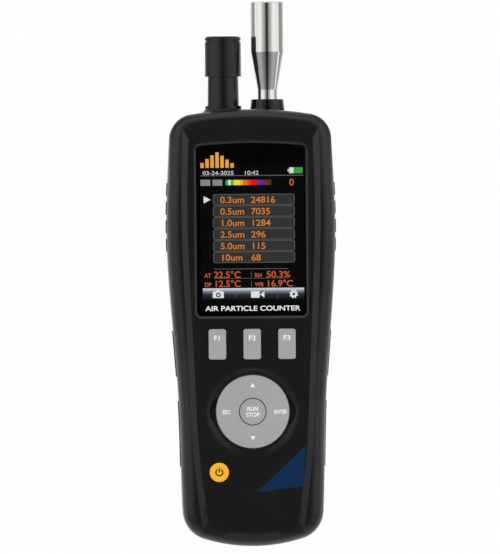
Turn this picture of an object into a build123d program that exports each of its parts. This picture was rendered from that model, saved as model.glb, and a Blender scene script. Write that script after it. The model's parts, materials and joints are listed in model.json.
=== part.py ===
from build123d import *
import os
from math import sqrt

# Handheld airborne particle counter, lying on its back.
# X runs across the front, Y towards the probes, Z out of the front; millimetres.
# The origin is the centre of the underside of the whole instrument.

# ---- overall ----
LENGTH = 240.0              # heel to the mouth of the sampling probe
WIDTH = 75.0                # across the grip bars of the head
DEPTH = 57.0                # back to the top of the navigation ring
HEEL_Y = -LENGTH / 2
PROBE_TIP_Y = LENGTH / 2

# ---- case outline, seen from the front ----
GRIP_PROUD = 0.4            # grip bars above the side wall
HEAD_TOP_Y = 72.4
HEAD_TOP_R = 162.0          # bow of the top edge
SHOULDER_HALF = 35.2        # half width where the sides would meet the top
HEAD_HALF = WIDTH / 2 - GRIP_PROUD
HEAD_Y = 20.0
NECK_HALF = 34.4
NECK_Y = -28.0
WAIST_HALF = 32.2
WAIST_Y = -60.0
HEEL_HALF = 30.5            # half width where the sides would meet the heel
HEEL_R = 72.0               # bow of the heel
HEAD_CORNER_R = 11.0
HEEL_CORNER_R = 13.0
SHOULDER_SLOPE = 0.04       # sideways run of the side line for each mm down
HEEL_SLOPE = -0.06

# ---- case section ----
WALL = 2.4
ROOT = 1.5                  # ribs and posts grow from this deep in the wall
SPLIT_Z = 30.0              # parting plane of the two covers, and axis of both probes
PANEL_RISE = 1.7            # raised panel above the shoulder ledge
RING_PROUD = 1.3            # navigation ring above the panel
PANEL_Z = DEPTH - RING_PROUD
LEDGE_Z = PANEL_Z - PANEL_RISE
PANEL_WALL = 3.0
CEILING_Z = PANEL_Z - PANEL_WALL
FRONT_EDGE_R = 6.0
BACK_EDGE_R = 9.0
ARCH_TOP_Y = 30.0           # the back leaves the table here
ARCH_PEAK_Y = -44.0
ARCH_END_Y = -106.0         # and meets it again here, at the heel
ARCH_RISE = 11.0
SEAM_GROOVE = 0.5
LIP_T = 1.0                 # tongue of the front cover inside the rear cover
LIP_H = 1.6
LIP_GAP = 0.1

# ---- raised front panel ----
FACET_W = 2.6               # bevel along both long sides
PANEL_TOP_Y = 62.0          # the flat of the panel ends here
PANEL_TOP_HALF = 29.9
PANEL_HEAD_HALF = 30.5
PANEL_HEAD_Y = 17.0
PANEL_NECK_HALF = 28.0
PANEL_NECK_Y = -42.6
PANEL_WAIST_HALF = 25.9
PANEL_WAIST_Y = -82.3
PANEL_END_HALF = 21.9
PANEL_END_Y = -112.5
PANEL_RUN_OUT = 5.0         # length of the slopes that end the panel
PANEL_SKIRT = 1.5
POCKET_INSET = 3.4          # hollow behind the panel

# ---- display ----
WINDOW_W = 48.2
WINDOW_TOP_Y = 56.2
WINDOW_END_Y = -18.7
WINDOW_BOW = 1.3            # height of the arched top edge
WINDOW_CORNER_R = 2.0
WINDOW_BEVEL = 1.0
WINDOW_SUNK = 0.8
WINDOW_T = 1.4
WINDOW_GAP = 0.1
APERTURE_W = 45.6
APERTURE_TOP_Y = 48.0
APERTURE_END_Y = -13.5
DISPLAY_X = 0.5
DISPLAY_W = 50.0
DISPLAY_L = 69.2
DISPLAY_T = 3.2
DISPLAY_Y = 17.2
DISPLAY_GAP = 0.1
FIELD_T = 0.1               # shown fields lie on the glass as thin plates
ROW_COUNT = 6
ROW_X = 1.2
ROW_W = 36.0
ROW_H = 4.8
ROW_PITCH = 5.08
ROW_TOP_Y = 35.0
GAUGE_COUNT = 6
GAUGE_X = -11.2
GAUGE_STEP = 3.38
GAUGE_Y = 40.1
GAUGE_H = 2.3
TAB_W = 4.3
TAB_H = 2.7
TAB_XS = (-20.0, -14.7)
BAR_X = 0.8
BAR_W = 44.6
BAR_Y = -8.9
BAR_H = 5.1
CELL_X = 19.8
CELL_Y = 45.3
CELL_W = 6.0
CELL_H = 2.6
POINTER_X = -19.3
POINTER_W = 3.0
POINTER_H = 3.2
CHART_XS = (-21.4, -19.2, -17.0, -14.8, -12.6, -10.4, -8.2)
CHART_HS = (2.2, 3.9, 5.5, 6.8, 5.3, 3.6, 2.0)
CHART_W = 1.5
CHART_Y = 46.6              # bars printed on the lens above the display

# ---- keys ----
KEY_GAP = 0.2
KEY_TRAVEL = 0.8
KEY_PROUD = 0.9
KEY_LIP = 0.9               # flange that holds a key behind the panel
KEY_LIP_T = 0.9
KEY_REST_GAP = 0.1
KEY_EDGE_R = 0.5
F_KEY_W = 7.7
F_KEY_L = 13.4
F_KEY_PITCH = 15.3
F_KEY_Y = -31.0
F_KEY_CORNER_R = 1.1
POWER_X = -14.9
POWER_Y = -87.3
POWER_R = 4.25
MARK_T = 0.1
RING_Y = -60.7
RING_R = 16.1
RING_GAP = 0.3
RING_HOLE_R = 6.1
RING_LIP_R = 17.6
RING_LIP_T = 0.8
RING_LIP_GAP = 0.7          # room for the ring to tilt both ways at once
RING_EDGE_R = 0.8
RING_MARK_Y = 11.7
RING_MARK_W = 2.2
RING_MARK_H = 1.9
RUN_R = 5.8
RUN_SUNK = 0.2              # RUN/STOP key below the top of the ring
RUN_LIP_R = 6.5
RUN_LIP_GAP = 0.3
RUN_POST_R = 2.5
DISH_R = 21.0
DISH_DEPTH = 1.5
SCOOP_R = 8.0               # finger scoops left and right of the ring
SCOOP_X = 11.0
SCOOP_DEPTH = 2.0
CUSHION_IN_R = 7.0
CUSHION_OUT_R = 8.8
CUSHION_GAP = 0.25
MAT_T = 1.0
MAT_GAP = 0.3               # between a pressed key and the mat
MAT_HALF = 20.0
MAT_TOP_Y = -21.0
MAT_END_Y = -99.0
MAT_OPEN_R = 19.5
DOME_R = 2.6
BOARD_T = 1.6

# ---- boards ----
MAIN_HALF = 30.0
MAIN_TOP_Y = 55.0
MAIN_END_Y = -26.0
MAIN_Z = 43.0
MAIN_POST_X = 27.7
MAIN_POST_YS = (38.0, -20.0)
KEY_POST_X = 17.0
KEY_POST_Y = -42.3
HEEL_POST_X = 13.0
HEEL_POST_Y = -96.0
POST_R = 2.0
SCREW_PILOT_R = 0.8
SMALL_SCREW_R = 0.75
SMALL_HEAD_R = 1.7
SMALL_HEAD_T = 1.2
SMALL_SCREW_L = 4.2          # thread below the head, the same in every post
SPACER_GAP = 0.7            # to the memory card beside it
SPACER_L = 60.0
SPACER_WALL = 2.5
LINK_W = 14.0               # plug between the two boards
LINK_D = 3.6
LINK_Y = -23.4
BUZZER_R = 5.0
BUZZER_H = 4.0
BUZZER_X = -22.0
BUZZER_Y = -8.0
BUZZER_HOLE_R = 1.0

# ---- connectors behind the flap ----
JACK_GAP = 0.6              # jack faces behind the flap's leaf
USB_W = 7.7
USB_H = 4.0
USB_L = 9.0
USB_Y = 55.6
USB_WALL = 0.45
USB_MOUTH = 5.0
DC_W = 8.0
DC_L = 13.5
DC_Y = 47.0
DC_BORE_R = 2.9
DC_PIN_R = 1.0
DC_MOUTH = 9.0
SOCKET_W = 14.0
SOCKET_L = 14.5
SOCKET_H = 1.9
SOCKET_SETBACK = 3.0        # socket mouth behind the jack faces
CARD_W = 11.0
CARD_L = 15.0
CARD_T = 1.0
CARD_GAP = 0.1
CARD_INSET = 0.3
CARD_Y = 48.0
FLAP_Y0 = 41.5
FLAP_Y1 = 61.5
FLAP_Z0 = 33.0
FLAP_Z1 = 48.0
FLAP_T = 1.3
FLAP_SEAT = 1.4
FLAP_GAP = 0.2
FLAP_LEDGE = 1.5
FLAP_PLUG_GAP = 0.4
FLAP_NAIL_R = 2.0

# ---- side grips ----
GRIP_SUNK = 0.8
GRIP_GAP = 0.05
GRIP_Z0 = 22.0
GRIP_Z1 = 45.0
BAR_COUNT = 4
GRIP_BAR_L = 5.7
GRIP_BAR_PITCH = 8.2
GRIP_BAR_TOP_Y = 40.2
GRIP_MARGIN = 1.0
GRIP_CORNER_R = 4.0
LOWER_GRIPS = ((-25.0, -45.2), (-56.0, -85.0))

# ---- temperature and humidity sensor ----
SENSOR_X = -11.6
COLLAR_R = 9.8              # the case rises round the sensor in a low cone
COLLAR_TOP_R = 8.1
COLLAR_Y = 70.6
FLANGE_R = 8.0
FLANGE_Y = 72.5
FLANGE_T = 1.6
STEM_R = 6.9
STEM_TOP_R = 6.7
STEM_TOP_Y = 87.0
SPIGOT_R = 5.5              # through the top wall
SPIGOT_GAP = 0.1
NECK_LIP_R = 7.5
NECK_LIP_T = 1.8
NECK_LIP_GAP = 0.3
CAP_R = 7.95
CAP_LIP_R = 8.1
CAP_TOP_Y = 104.8
CAP_SEAT = 0.1
CAP_EDGE_R = 1.2
CAP_ROOF = 2.0
CAP_FIT = 0.06
CAP_GROOVE = 0.4
CAP_GROOVE_W = 0.9
CAP_GROOVE_Y = 102.2
CAP_LIP_H = 1.2
CAGE_COLLAR_R = 5.9
CAGE_COLLAR_H = 3.0
CAGE_R = 5.5
CAGE_WALL = 0.9
CAGE_TOP_Y = 100.6
CAGE_SLOTS = 6
CAGE_SLOT_W = 2.2
CAGE_SLOT_Y0 = 90.5
CAGE_SLOT_Y1 = 98.5
CHIP_W = 6.0
CHIP_T = 1.0
CHIP_TOP_Y = 98.0

# ---- isokinetic sampling probe and its base ----
PROBE_X = 7.8
BASE_R = 7.7
BASE_TOP_R = 7.1
BASE_TOP_Y = 76.9
THREAD_R = 4.0
THREAD_FIT = 0.08
THREAD_L = 6.0
THREAD_RELIEF_R = 3.6
SEAL_BORE_R = 5.3
SEAL_DEPTH = 1.0
SEAL_R = 4.1
SEAL_SECTION_R = 0.45
PROBE_NECK_R = 4.45
PROBE_NECK_TOP_Y = 81.1
PROBE_BODY_R = 7.35
PROBE_SHOULDER_Y = 97.8
PROBE_WALL = 0.9
PROBE_LIP = 0.4
PROBE_BORE_R = 2.4
BARB_R = 2.9
BARB_END_Y = 60.0
HOSE_FIT = 0.1
HOSE_WALL = 1.1

# ---- optical measuring block ----
OPTIC_X0 = -9.2
OPTIC_X1 = 24.8
OPTIC_Y0 = 24.0
OPTIC_Y1 = 52.0
OPTIC_Z0 = 8.0
OPTIC_Z1 = 34.0
OPTIC_NIPPLE_Y = 57.0
OPTIC_BORE_R = 1.6
OPTIC_POST_R = 2.6
OPTIC_POST_IN = 3.2
OPTIC_GAP = 0.1
LASER_R = 4.0
LASER_FIT = 0.06
LASER_L = 15.0
LASER_DEPTH = 8.0
LASER_Y = 38.0
LASER_Z = 22.0
SENSE_R = 4.0
DETECTOR_W = 16.0
DETECTOR_H = 16.0

# ---- air pump, hoses and exhaust ----
PUMP_X = -21.0
PUMP_Z = 14.0
PUMP_COVER_Y = 22.0
PUMP_HEAD_Y = 24.0
PUMP_MOTOR_Y = 36.0
PUMP_END_Y = 56.0
PUMP_HALF = 8.5
PUMP_MOTOR_R = 8.0
PUMP_CHAMBER_R = 6.2
PUMP_CHAMBER_L = 9.0
ROTOR_R = 4.6
ROTOR_SHIFT = 1.2           # the rotor turns off the centre of its chamber
ROTOR_GAP = 0.3
VANE_SLOT_W = 0.8
VANE_SLOT_D = 2.6
SHAFT_R = 1.0
SHAFT_FIT = 0.08
SHAFT_L = 9.0
PORT_SHIFT = 4.0
NIPPLE_R = 1.9
NIPPLE_BORE_R = 1.1
NIPPLE_L = 4.0
SUCTION_X = -4.0
SUCTION_END_Y = 11.0
SUCTION_BEND_R = 5.0
HOSE_END_GAP = 0.4
FILTER_R = 6.0
FILTER_Y0 = -10.0
FILTER_Y1 = 8.0
CRADLE_T = 3.0
CRADLE_GAP = 0.1
GRILLE_X = -25.0
GRILLE_Y = -20.0
GRILLE_COUNT = 4
GRILLE_PITCH = 3.0
GRILLE_W = 1.4
GRILLE_L = 9.0

# ---- battery, its bay and its door ----
BATTERY_W = 38.0
BATTERY_L = 68.0
BATTERY_T = 19.5
BATTERY_TOP_Y = -34.0
BATTERY_GAP = 0.3
BATTERY_CORNER_R = 4.0
BAY_WALL = 1.4
BAY_TOP_Z = 26.0
CONTACT_W = 5.0
CONTACT_T = 0.6
CONTACT_H = 7.0
CONTACT_XS = (-9.0, 9.0)
DOOR_HALF = 19.2
DOOR_TOP_Y = -31.0
DOOR_END_Y = -105.0
DOOR_T = 1.3
DOOR_SEAT = 1.4
DOOR_GAP = 0.2
DOOR_LEDGE = 2.2
DOOR_HEEL_LEDGE = 8.5
DOOR_CORNER_R = 3.0
DOOR_SCREW_Y = -101.5
DOOR_SCREW_R = 1.25
DOOR_SCREW_FIT = 0.1
DOOR_SCREW_TIP_Z = 9.5
DOOR_HEAD_R = 2.5
DOOR_HEAD_Z0 = 0.7
DOOR_HEAD_Z1 = 2.2
DOOR_PAD_R = 3.6            # thickened seat of the screw in the door
DOOR_PAD_Z = 3.8
DOOR_BOSS_TOP_Z = 12.5

# ---- long case screws, tripod bush, camera ----
SCREW_SPOTS = ((27.0, 64.0), (-27.0, 64.0), (20.0, -108.0), (-20.0, -108.0))
CASE_POST_R = 3.2
SCREW_R = 1.4
SCREW_FIT = 0.1
SCREW_HEAD_R = 2.7
SCREW_HEAD_T = 2.4
SCREW_SEAT_Z = 8.5
SCREW_TIP_Z = 40.0
SCREW_WELL_R = 2.9
TRIPOD_Y = 14.0
TRIPOD_BORE_R = 2.65
TRIPOD_BUSH_R = 4.6
TRIPOD_L = 8.0
TRIPOD_SUNK = 0.3
TRIPOD_BOSS_R = 7.0
CAMERA_Y = 56.5
BEZEL_R = 6.5
BEZEL_T = 1.6
BEZEL_SUNK = 0.2
CAMERA_GLASS_R = 4.2
CAMERA_GLASS_T = 0.8
CAMERA_W = 8.5
CAMERA_H = 4.8
CAMERA_BARREL_R = 3.2
LIGHT_R = 2.5
LIGHT_XS = (-13.0, 13.0)
LIGHT_L = 4.0
LIGHT_FIT = 0.05
FIT = 0.05                  # between fixed pieces that slip into each other


def box(x0, x1, y0, y1, z0, z1):
    """Block between two opposite corners."""
    centre = ((x0 + x1) / 2, (y0 + y1) / 2, (z0 + z1) / 2)
    return Pos(*centre) * Box(x1 - x0, y1 - y0, z1 - z0)


def rod_x(r, y, z, x0, x1):
    return Pos((x0 + x1) / 2, y, z) * Rot(0, 90, 0) * Cylinder(r, x1 - x0)


def rod_y(r, x, z, y0, y1):
    return Pos(x, (y0 + y1) / 2, z) * Rot(90, 0, 0) * Cylinder(r, y1 - y0)


def rod_z(r, x, y, z0, z1):
    return Pos(x, y, (z0 + z1) / 2) * Cylinder(r, z1 - z0)


def cone_y(r0, r1, x, z, y0, y1):
    """Round taper along Y, radius r0 at y0 and r1 at y1."""
    return Pos(x, (y0 + y1) / 2, z) * Rot(-90, 0, 0) * Cone(r0, r1, y1 - y0)


def bow(radius, half):
    """Height of an arc of this radius over this half chord."""
    return radius - sqrt(radius * radius - half * half)


def corners_at(face, x, y):
    """Vertices of a mirrored face at (x, y) and (-x, y)."""
    near = 1e-4
    return [v for v in face.vertices() if abs(abs(v.X) - x) < near and abs(v.Y - y) < near]


def outline(inset):
    """Face of the case seen from the front, drawn in by an inset."""
    top_y = HEAD_TOP_Y - inset
    heel_y = HEEL_Y + inset
    shoulder = (SHOULDER_HALF - inset, top_y - bow(HEAD_TOP_R - inset, SHOULDER_HALF - inset))
    heel = (HEEL_HALF - inset, heel_y + bow(HEEL_R - inset, HEEL_HALF - inset))
    head = (HEAD_HALF - inset, HEAD_Y)
    neck = (NECK_HALF - inset, NECK_Y)
    waist = (WAIST_HALF - inset, WAIST_Y)
    slopes = [(SHOULDER_SLOPE, -1), (HEEL_SLOPE, -1)]
    right = Spline(shoulder, head, neck, waist, heel, tangents=slopes)
    top = ThreePointArc((-shoulder[0], shoulder[1]), (0, top_y), shoulder)
    end = ThreePointArc(heel, (0, heel_y), (-heel[0], heel[1]))
    left = mirror(right, about=Plane.YZ)
    face = make_face([top.edge(), right.edge(), end.edge(), left.edge()]).face()
    face = face.fillet_2d(HEAD_CORNER_R - inset, corners_at(face, *shoulder))
    return face.fillet_2d(HEEL_CORNER_R - inset, corners_at(face, *heel))


def prism(inset, z0, z1):
    return Pos(0, 0, z0) * extrude(outline(inset), z1 - z0)


def side_profile(inset):
    """Slab with the arched back, drawn in by an inset and wider than the case."""
    past = LENGTH
    back = inset
    front = LEDGE_Z - inset
    arch_points = ((ARCH_TOP_Y, back), (ARCH_PEAK_Y, back + ARCH_RISE), (ARCH_END_Y, back))
    arch = Spline(*arch_points, tangents=[(-1, 0), (-1, 0)])
    rest = Polyline((ARCH_END_Y, back), (-past, back), (-past, front), (past, front),
                    (past, back), (ARCH_TOP_Y, back))
    face = make_face([arch.edge()] + rest.edges()).face()
    return extrude(Plane.YZ * face, WIDTH, both=True)


def case_body(inset):
    """Rounded solid of the whole case without the raised panel."""
    solid = (prism(inset, -WALL, DEPTH) & side_profile(inset)).solid()
    front_face = solid.faces().sort_by(Axis.Z)[-1]
    solid = fillet(front_face.edges(), FRONT_EDGE_R - inset)
    low = inset + ARCH_RISE + FIT
    rim = [e for e in solid.edges() if e.bounding_box().max.Z < low]
    crossings = [e for e in rim if e.bounding_box().size.Y < FIT and e.length > HEEL_HALF]
    rim = [e for e in rim if e not in crossings]
    return fillet(rim, BACK_EDGE_R - inset)


def panel_face(inset, run_out):
    """Outline of the raised panel, drawn in at the sides and run out at the ends."""
    top_y = PANEL_TOP_Y + run_out
    end_y = PANEL_END_Y - run_out
    top = (PANEL_TOP_HALF - inset, top_y - bow(HEAD_TOP_R, PANEL_TOP_HALF))
    head = (PANEL_HEAD_HALF - inset, PANEL_HEAD_Y)
    neck = (PANEL_NECK_HALF - inset, PANEL_NECK_Y)
    waist = (PANEL_WAIST_HALF - inset, PANEL_WAIST_Y)
    end = (PANEL_END_HALF - inset, end_y + bow(HEEL_R, PANEL_END_HALF))
    right = Spline(top, head, neck, waist, end)
    upper = ThreePointArc((-top[0], top[1]), (0, top_y), top)
    lower = ThreePointArc(end, (0, end_y), (-end[0], end[1]))
    left = mirror(right, about=Plane.YZ)
    return make_face([upper.edge(), right.edge(), lower.edge(), left.edge()]).face()


def raised_panel():
    base = Pos(0, 0, LEDGE_Z) * panel_face(0, PANEL_RUN_OUT)
    top = Pos(0, 0, PANEL_Z) * panel_face(FACET_W, 0)
    skirt = Pos(0, 0, LEDGE_Z - PANEL_SKIRT) * extrude(panel_face(0, PANEL_RUN_OUT), PANEL_SKIRT)
    return loft([base, top], ruled=True) + skirt


def window_face(grow):
    """Outline of the display window, with its arched top edge."""
    half = WINDOW_W / 2 + grow
    top_y = WINDOW_TOP_Y + grow
    end_y = WINDOW_END_Y - grow
    top = ThreePointArc((half, top_y), (0, top_y + WINDOW_BOW), (-half, top_y))
    rest = Polyline((-half, top_y), (-half, end_y), (half, end_y), (half, top_y))
    face = make_face([top.edge()] + rest.edges()).face()
    return face.fillet_2d(WINDOW_CORNER_R + grow, face.vertices())


def key_blank(face, top_z, lip_face):
    """Key cap on the flange that holds it behind the panel."""
    lip_z = CEILING_Z - KEY_REST_GAP
    cap = Pos(0, 0, lip_z) * extrude(face, top_z - lip_z)
    cap = fillet(cap.faces().sort_by(Axis.Z)[-1].edges(), KEY_EDGE_R)
    return cap + Pos(0, 0, lip_z - KEY_LIP_T) * extrude(lip_face, KEY_LIP_T)


def f_key_face(grow):
    corner = F_KEY_CORNER_R + grow
    return RectangleRounded(F_KEY_W + 2 * grow, F_KEY_L + 2 * grow, corner)


def triangle(points, z, thickness):
    return Pos(0, 0, z) * extrude(make_face(Polyline(*points, close=True)), thickness)


def write(name, shape):
    export_step(shape, "parts/" + name + ".step")


os.makedirs("parts", exist_ok=True)

# ---- both covers ----
outer = case_body(0)
core = case_body(ROOT)
panel_hollow = Pos(0, 0, SPLIT_Z) * extrude(panel_face(POCKET_INSET, -POCKET_INSET), CEILING_Z - SPLIT_Z)
seam = prism(-WALL, SPLIT_Z - SEAM_GROOVE / 2, SPLIT_Z + SEAM_GROOVE / 2) - prism(
    SEAM_GROOVE, SPLIT_Z - SEAM_GROOVE, SPLIT_Z + SEAM_GROOVE)
collar = cone_y(COLLAR_R, COLLAR_TOP_R, SENSOR_X, SPLIT_Z, COLLAR_Y, FLANGE_Y)
sensor_hole = rod_y(SPIGOT_R + SPIGOT_GAP, SENSOR_X, SPLIT_Z, BARB_END_Y, PROBE_TIP_Y)
probe_hole = rod_y(SPIGOT_R + SPIGOT_GAP, PROBE_X, SPLIT_Z, BARB_END_Y, PROBE_TIP_Y)
base_low_y = HEAD_TOP_Y - bow(HEAD_TOP_R, PROBE_X + BASE_R)
base_seat = rod_y(BASE_R + SPIGOT_GAP, PROBE_X, SPLIT_Z, base_low_y, PROBE_TIP_Y)
shell = outer + [raised_panel(), collar]
shell -= [case_body(WALL), panel_hollow, seam, sensor_hole, probe_hole, base_seat]


def side_block(side, y0, y1, z0, z1, corner):
    """Block with rounded corners, from the middle of the case out past one side."""
    plate = Pos(0, (y0 + y1) / 2, (z0 + z1) / 2) * Rot(0, 90, 0) * RectangleRounded(z1 - z0, y1 - y0, corner)
    return extrude(plate, WIDTH, dir=(side, 0, 0))


def grip_side(side, grow):
    """Rubber of one side: a barred pad at the head and two plain pads below."""
    z0 = GRIP_Z0 - grow
    z1 = GRIP_Z1 + grow
    corner = GRIP_CORNER_R + grow
    bar_ys = [GRIP_BAR_TOP_Y - i * GRIP_BAR_PITCH for i in range(BAR_COUNT)]
    past = (z0 - WALL, z1 + WALL)
    sunk = prism(GRIP_SUNK + grow, *past)
    sheet = prism(0, *past) - sunk
    proud = prism(-GRIP_PROUD, *past) - sunk
    pad_y0 = bar_ys[-1] - GRIP_BAR_L - GRIP_MARGIN - grow
    pad = sheet & side_block(side, pad_y0, bar_ys[0] + GRIP_MARGIN + grow, z0, z1, corner)
    bar_ends = (z0 + GRIP_MARGIN, z1 - GRIP_MARGIN, GRIP_BAR_L / 3)
    bars = [proud & side_block(side, y - GRIP_BAR_L, y, *bar_ends) for y in bar_ys]
    lower = [proud & side_block(side, y0 - grow, y1 + grow, z0, z1, corner) for y1, y0 in LOWER_GRIPS]
    return [(pad + bars).solid()] + [piece.solid() for piece in lower]


shell -= grip_side(-1, GRIP_GAP) + grip_side(1, GRIP_GAP)
lip_ring = prism(WALL - LIP_T, SPLIT_Z - LIP_H, SPLIT_Z) - prism(WALL, SPLIT_Z - LIP_H, SPLIT_Z)
lip_slot = prism(WALL - LIP_T - LIP_GAP, SPLIT_Z - LIP_H - LIP_GAP, SPLIT_Z) - prism(
    WALL + LIP_GAP, SPLIT_Z - LIP_H - LIP_GAP, SPLIT_Z)
front_half = box(-WIDTH, WIDTH, -LENGTH, LENGTH, SPLIT_Z, LENGTH)
rear_half = box(-WIDTH, WIDTH, -LENGTH, LENGTH, -LENGTH, SPLIT_Z)

# ---- front cover ----
lens_z = PANEL_Z - WINDOW_SUNK - WINDOW_T
dish_floor_r = RING_R + RING_GAP
bevel_low = Pos(0, 0, PANEL_Z - WINDOW_SUNK) * window_face(0)
bevel_top = Pos(0, 0, PANEL_Z) * window_face(WINDOW_BEVEL)
front_cuts = [
    Pos(0, 0, lens_z) * extrude(window_face(0), DEPTH),
    loft([bevel_low, bevel_top], ruled=True),
    box(DISPLAY_X - APERTURE_W / 2, DISPLAY_X + APERTURE_W / 2, APERTURE_END_Y, APERTURE_TOP_Y,
        SPLIT_Z, DEPTH),
    rod_z(POWER_R + KEY_GAP, POWER_X, POWER_Y, SPLIT_Z, DEPTH),
    Pos(0, RING_Y, PANEL_Z - DISH_DEPTH / 2) * Cone(dish_floor_r, DISH_R, DISH_DEPTH),
    rod_z(dish_floor_r, 0, RING_Y, SPLIT_Z, DEPTH)]
for i in (-1, 0, 1):
    front_cuts.append(Pos(i * F_KEY_PITCH, F_KEY_Y, SPLIT_Z) * extrude(f_key_face(KEY_GAP), DEPTH))
for x in (-SCOOP_X, SCOOP_X):
    front_cuts.append(rod_z(SCOOP_R, x, RING_Y, PANEL_Z - SCOOP_DEPTH, DEPTH))

board_top_z = MAIN_Z + BOARD_T
mat_top_z = CEILING_Z - KEY_REST_GAP - KEY_LIP_T - KEY_TRAVEL - MAT_GAP
key_board_top_z = mat_top_z - MAT_T
key_board_z = key_board_top_z - BOARD_T
main_spots = [(x, y) for x in (-MAIN_POST_X, MAIN_POST_X) for y in MAIN_POST_YS]
key_spots = [(x, KEY_POST_Y) for x in (-KEY_POST_X, KEY_POST_X)]
key_spots += [(x, HEEL_POST_Y) for x in (-HEEL_POST_X, HEEL_POST_X)]
post_end_z = LEDGE_Z - ROOT
pilot_l = SMALL_SCREW_L - BOARD_T + SCREW_FIT
posts = []
pilots = []
for x, y in main_spots:
    posts.append(rod_z(POST_R, x, y, board_top_z, post_end_z))
    pilots.append(rod_z(SCREW_PILOT_R, x, y, SPLIT_Z, board_top_z + pilot_l))
for x, y in key_spots:
    posts.append(rod_z(POST_R, x, y, key_board_top_z, CEILING_Z + ROOT))
    pilots.append(rod_z(SCREW_PILOT_R, x, y, SPLIT_Z, key_board_top_z + pilot_l))
for x, y in SCREW_SPOTS:
    posts.append(rod_z(CASE_POST_R, x, y, SPLIT_Z, post_end_z))
    pilots.append(rod_z(SCREW_R + SCREW_FIT, x, y, SPLIT_Z - LIP_H, SCREW_TIP_Z + SCREW_FIT))
flap_seat = (prism(-WALL, FLAP_Z0, FLAP_Z1) - prism(FLAP_SEAT, FLAP_Z0, FLAP_Z1)) & box(
    0, WIDTH, FLAP_Y0, FLAP_Y1, FLAP_Z0, FLAP_Z1)
flap_window = box(HEAD_HALF / 2 + WALL, WIDTH, FLAP_Y0 + FLAP_LEDGE, FLAP_Y1 - FLAP_LEDGE,
                  FLAP_Z0 + FLAP_LEDGE, FLAP_Z1 - FLAP_LEDGE)
front = (shell & front_half) + (lip_ring - [sensor_hole, probe_hole])
front = front - front_cuts + posts - (pilots + [flap_seat, flap_window])
write("front_cover", front.solid())

# ---- rear cover ----


def door_prism(grow):
    """Upright block of the door's outline, through the back."""
    length = DOOR_TOP_Y - DOOR_END_Y + 2 * grow
    centre_y = (DOOR_TOP_Y + DOOR_END_Y) / 2
    face = RectangleRounded(2 * (DOOR_HALF + grow), length, DOOR_CORNER_R)
    return Pos(0, centre_y, -WALL) * extrude(face, SPLIT_Z)


def cradles(x, radius, ys):
    """Ribs from the floor with a round seat for a cylinder of the pump line."""
    ribs = [box(x - radius, x + radius, y, y + CRADLE_T, 0, PUMP_Z - radius / 2) for y in ys]
    return Compound(children=ribs) - rod_y(radius + CRADLE_GAP, x, PUMP_Z, HEEL_Y, PROBE_TIP_Y)


bay_half = BATTERY_W / 2 + BATTERY_GAP
bay_y0 = BATTERY_TOP_Y - BATTERY_L - BATTERY_GAP
bay_y1 = BATTERY_TOP_Y + CONTACT_T + 2 * BATTERY_GAP
bay = box(-bay_half - BAY_WALL, bay_half + BAY_WALL, bay_y0 - BAY_WALL, bay_y1 + BAY_WALL, 0, BAY_TOP_Z)
bay -= box(-bay_half, bay_half, bay_y0, bay_y1, -WALL, DEPTH)
tripod_top_z = TRIPOD_SUNK + TRIPOD_L
outlet_x = PUMP_X - PORT_SHIFT
filter_mid = (FILTER_Y0 + FILTER_Y1) / 2
door_boss_r = DOOR_PAD_R + DOOR_GAP + BAY_WALL
optic_xs = (OPTIC_X0 + OPTIC_POST_IN, OPTIC_X1 - OPTIC_POST_IN)
optic_ys = (OPTIC_Y0 + OPTIC_POST_IN, OPTIC_Y1 - OPTIC_POST_IN)
optic_spots = [(x, y) for x in optic_xs for y in optic_ys]
rear_ribs = [
    bay,
    rod_z(door_boss_r, 0, DOOR_SCREW_Y, 0, DOOR_BOSS_TOP_Z),
    rod_z(TRIPOD_BOSS_R, 0, TRIPOD_Y, 0, tripod_top_z + WALL / 2),
    cradles(PUMP_X, PUMP_MOTOR_R, (PUMP_MOTOR_Y + CRADLE_T, PUMP_END_Y - 2 * CRADLE_T)),
    cradles(outlet_x, FILTER_R, (filter_mid - 2 * CRADLE_T, filter_mid + CRADLE_T)),
    box(PUMP_X - PUMP_HALF, PUMP_X + PUMP_HALF, PUMP_HEAD_Y + CRADLE_T, PUMP_HEAD_Y + 2 * CRADLE_T,
        0, PUMP_Z - PUMP_HALF - CRADLE_GAP)]
rear_cuts = [
    box(-DOOR_HALF + DOOR_LEDGE, DOOR_HALF - DOOR_LEDGE, DOOR_END_Y + DOOR_HEEL_LEDGE,
        DOOR_TOP_Y - DOOR_LEDGE, -WALL, ARCH_RISE + WALL),
    rod_z(DOOR_PAD_R + DOOR_GAP, 0, DOOR_SCREW_Y, -WALL, DOOR_PAD_Z + DOOR_GAP),
    rod_z(DOOR_SCREW_R + DOOR_SCREW_FIT, 0, DOOR_SCREW_Y, -WALL, DOOR_SCREW_TIP_Z + DOOR_GAP),
    rod_z(TRIPOD_BUSH_R + FIT, 0, TRIPOD_Y, -WALL, tripod_top_z),
    rod_z(TRIPOD_BORE_R + FIT, 0, TRIPOD_Y, -WALL, DEPTH),
    rod_z(BEZEL_R + FIT, 0, CAMERA_Y, -WALL, BEZEL_T),
    rod_z(CAMERA_BARREL_R + FIT, 0, CAMERA_Y, -WALL, WALL + FIT)]
for x, y in SCREW_SPOTS:
    rear_ribs.append(rod_z(CASE_POST_R + ROOT, x, y, 0, SCREW_SEAT_Z + WALL))
    rear_ribs.append(rod_z(CASE_POST_R, x, y, SCREW_SEAT_Z, SPLIT_Z))
    rear_cuts.append(rod_z(SCREW_WELL_R, x, y, -WALL, SCREW_SEAT_Z))
    rear_cuts.append(rod_z(SCREW_R + SCREW_FIT, x, y, -WALL, DEPTH))
for x, y in optic_spots:
    rear_ribs.append(rod_z(OPTIC_POST_R, x, y, 0, OPTIC_Z0))
    rear_cuts.append(rod_z(SCREW_PILOT_R, x, y, WALL, DEPTH))
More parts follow.
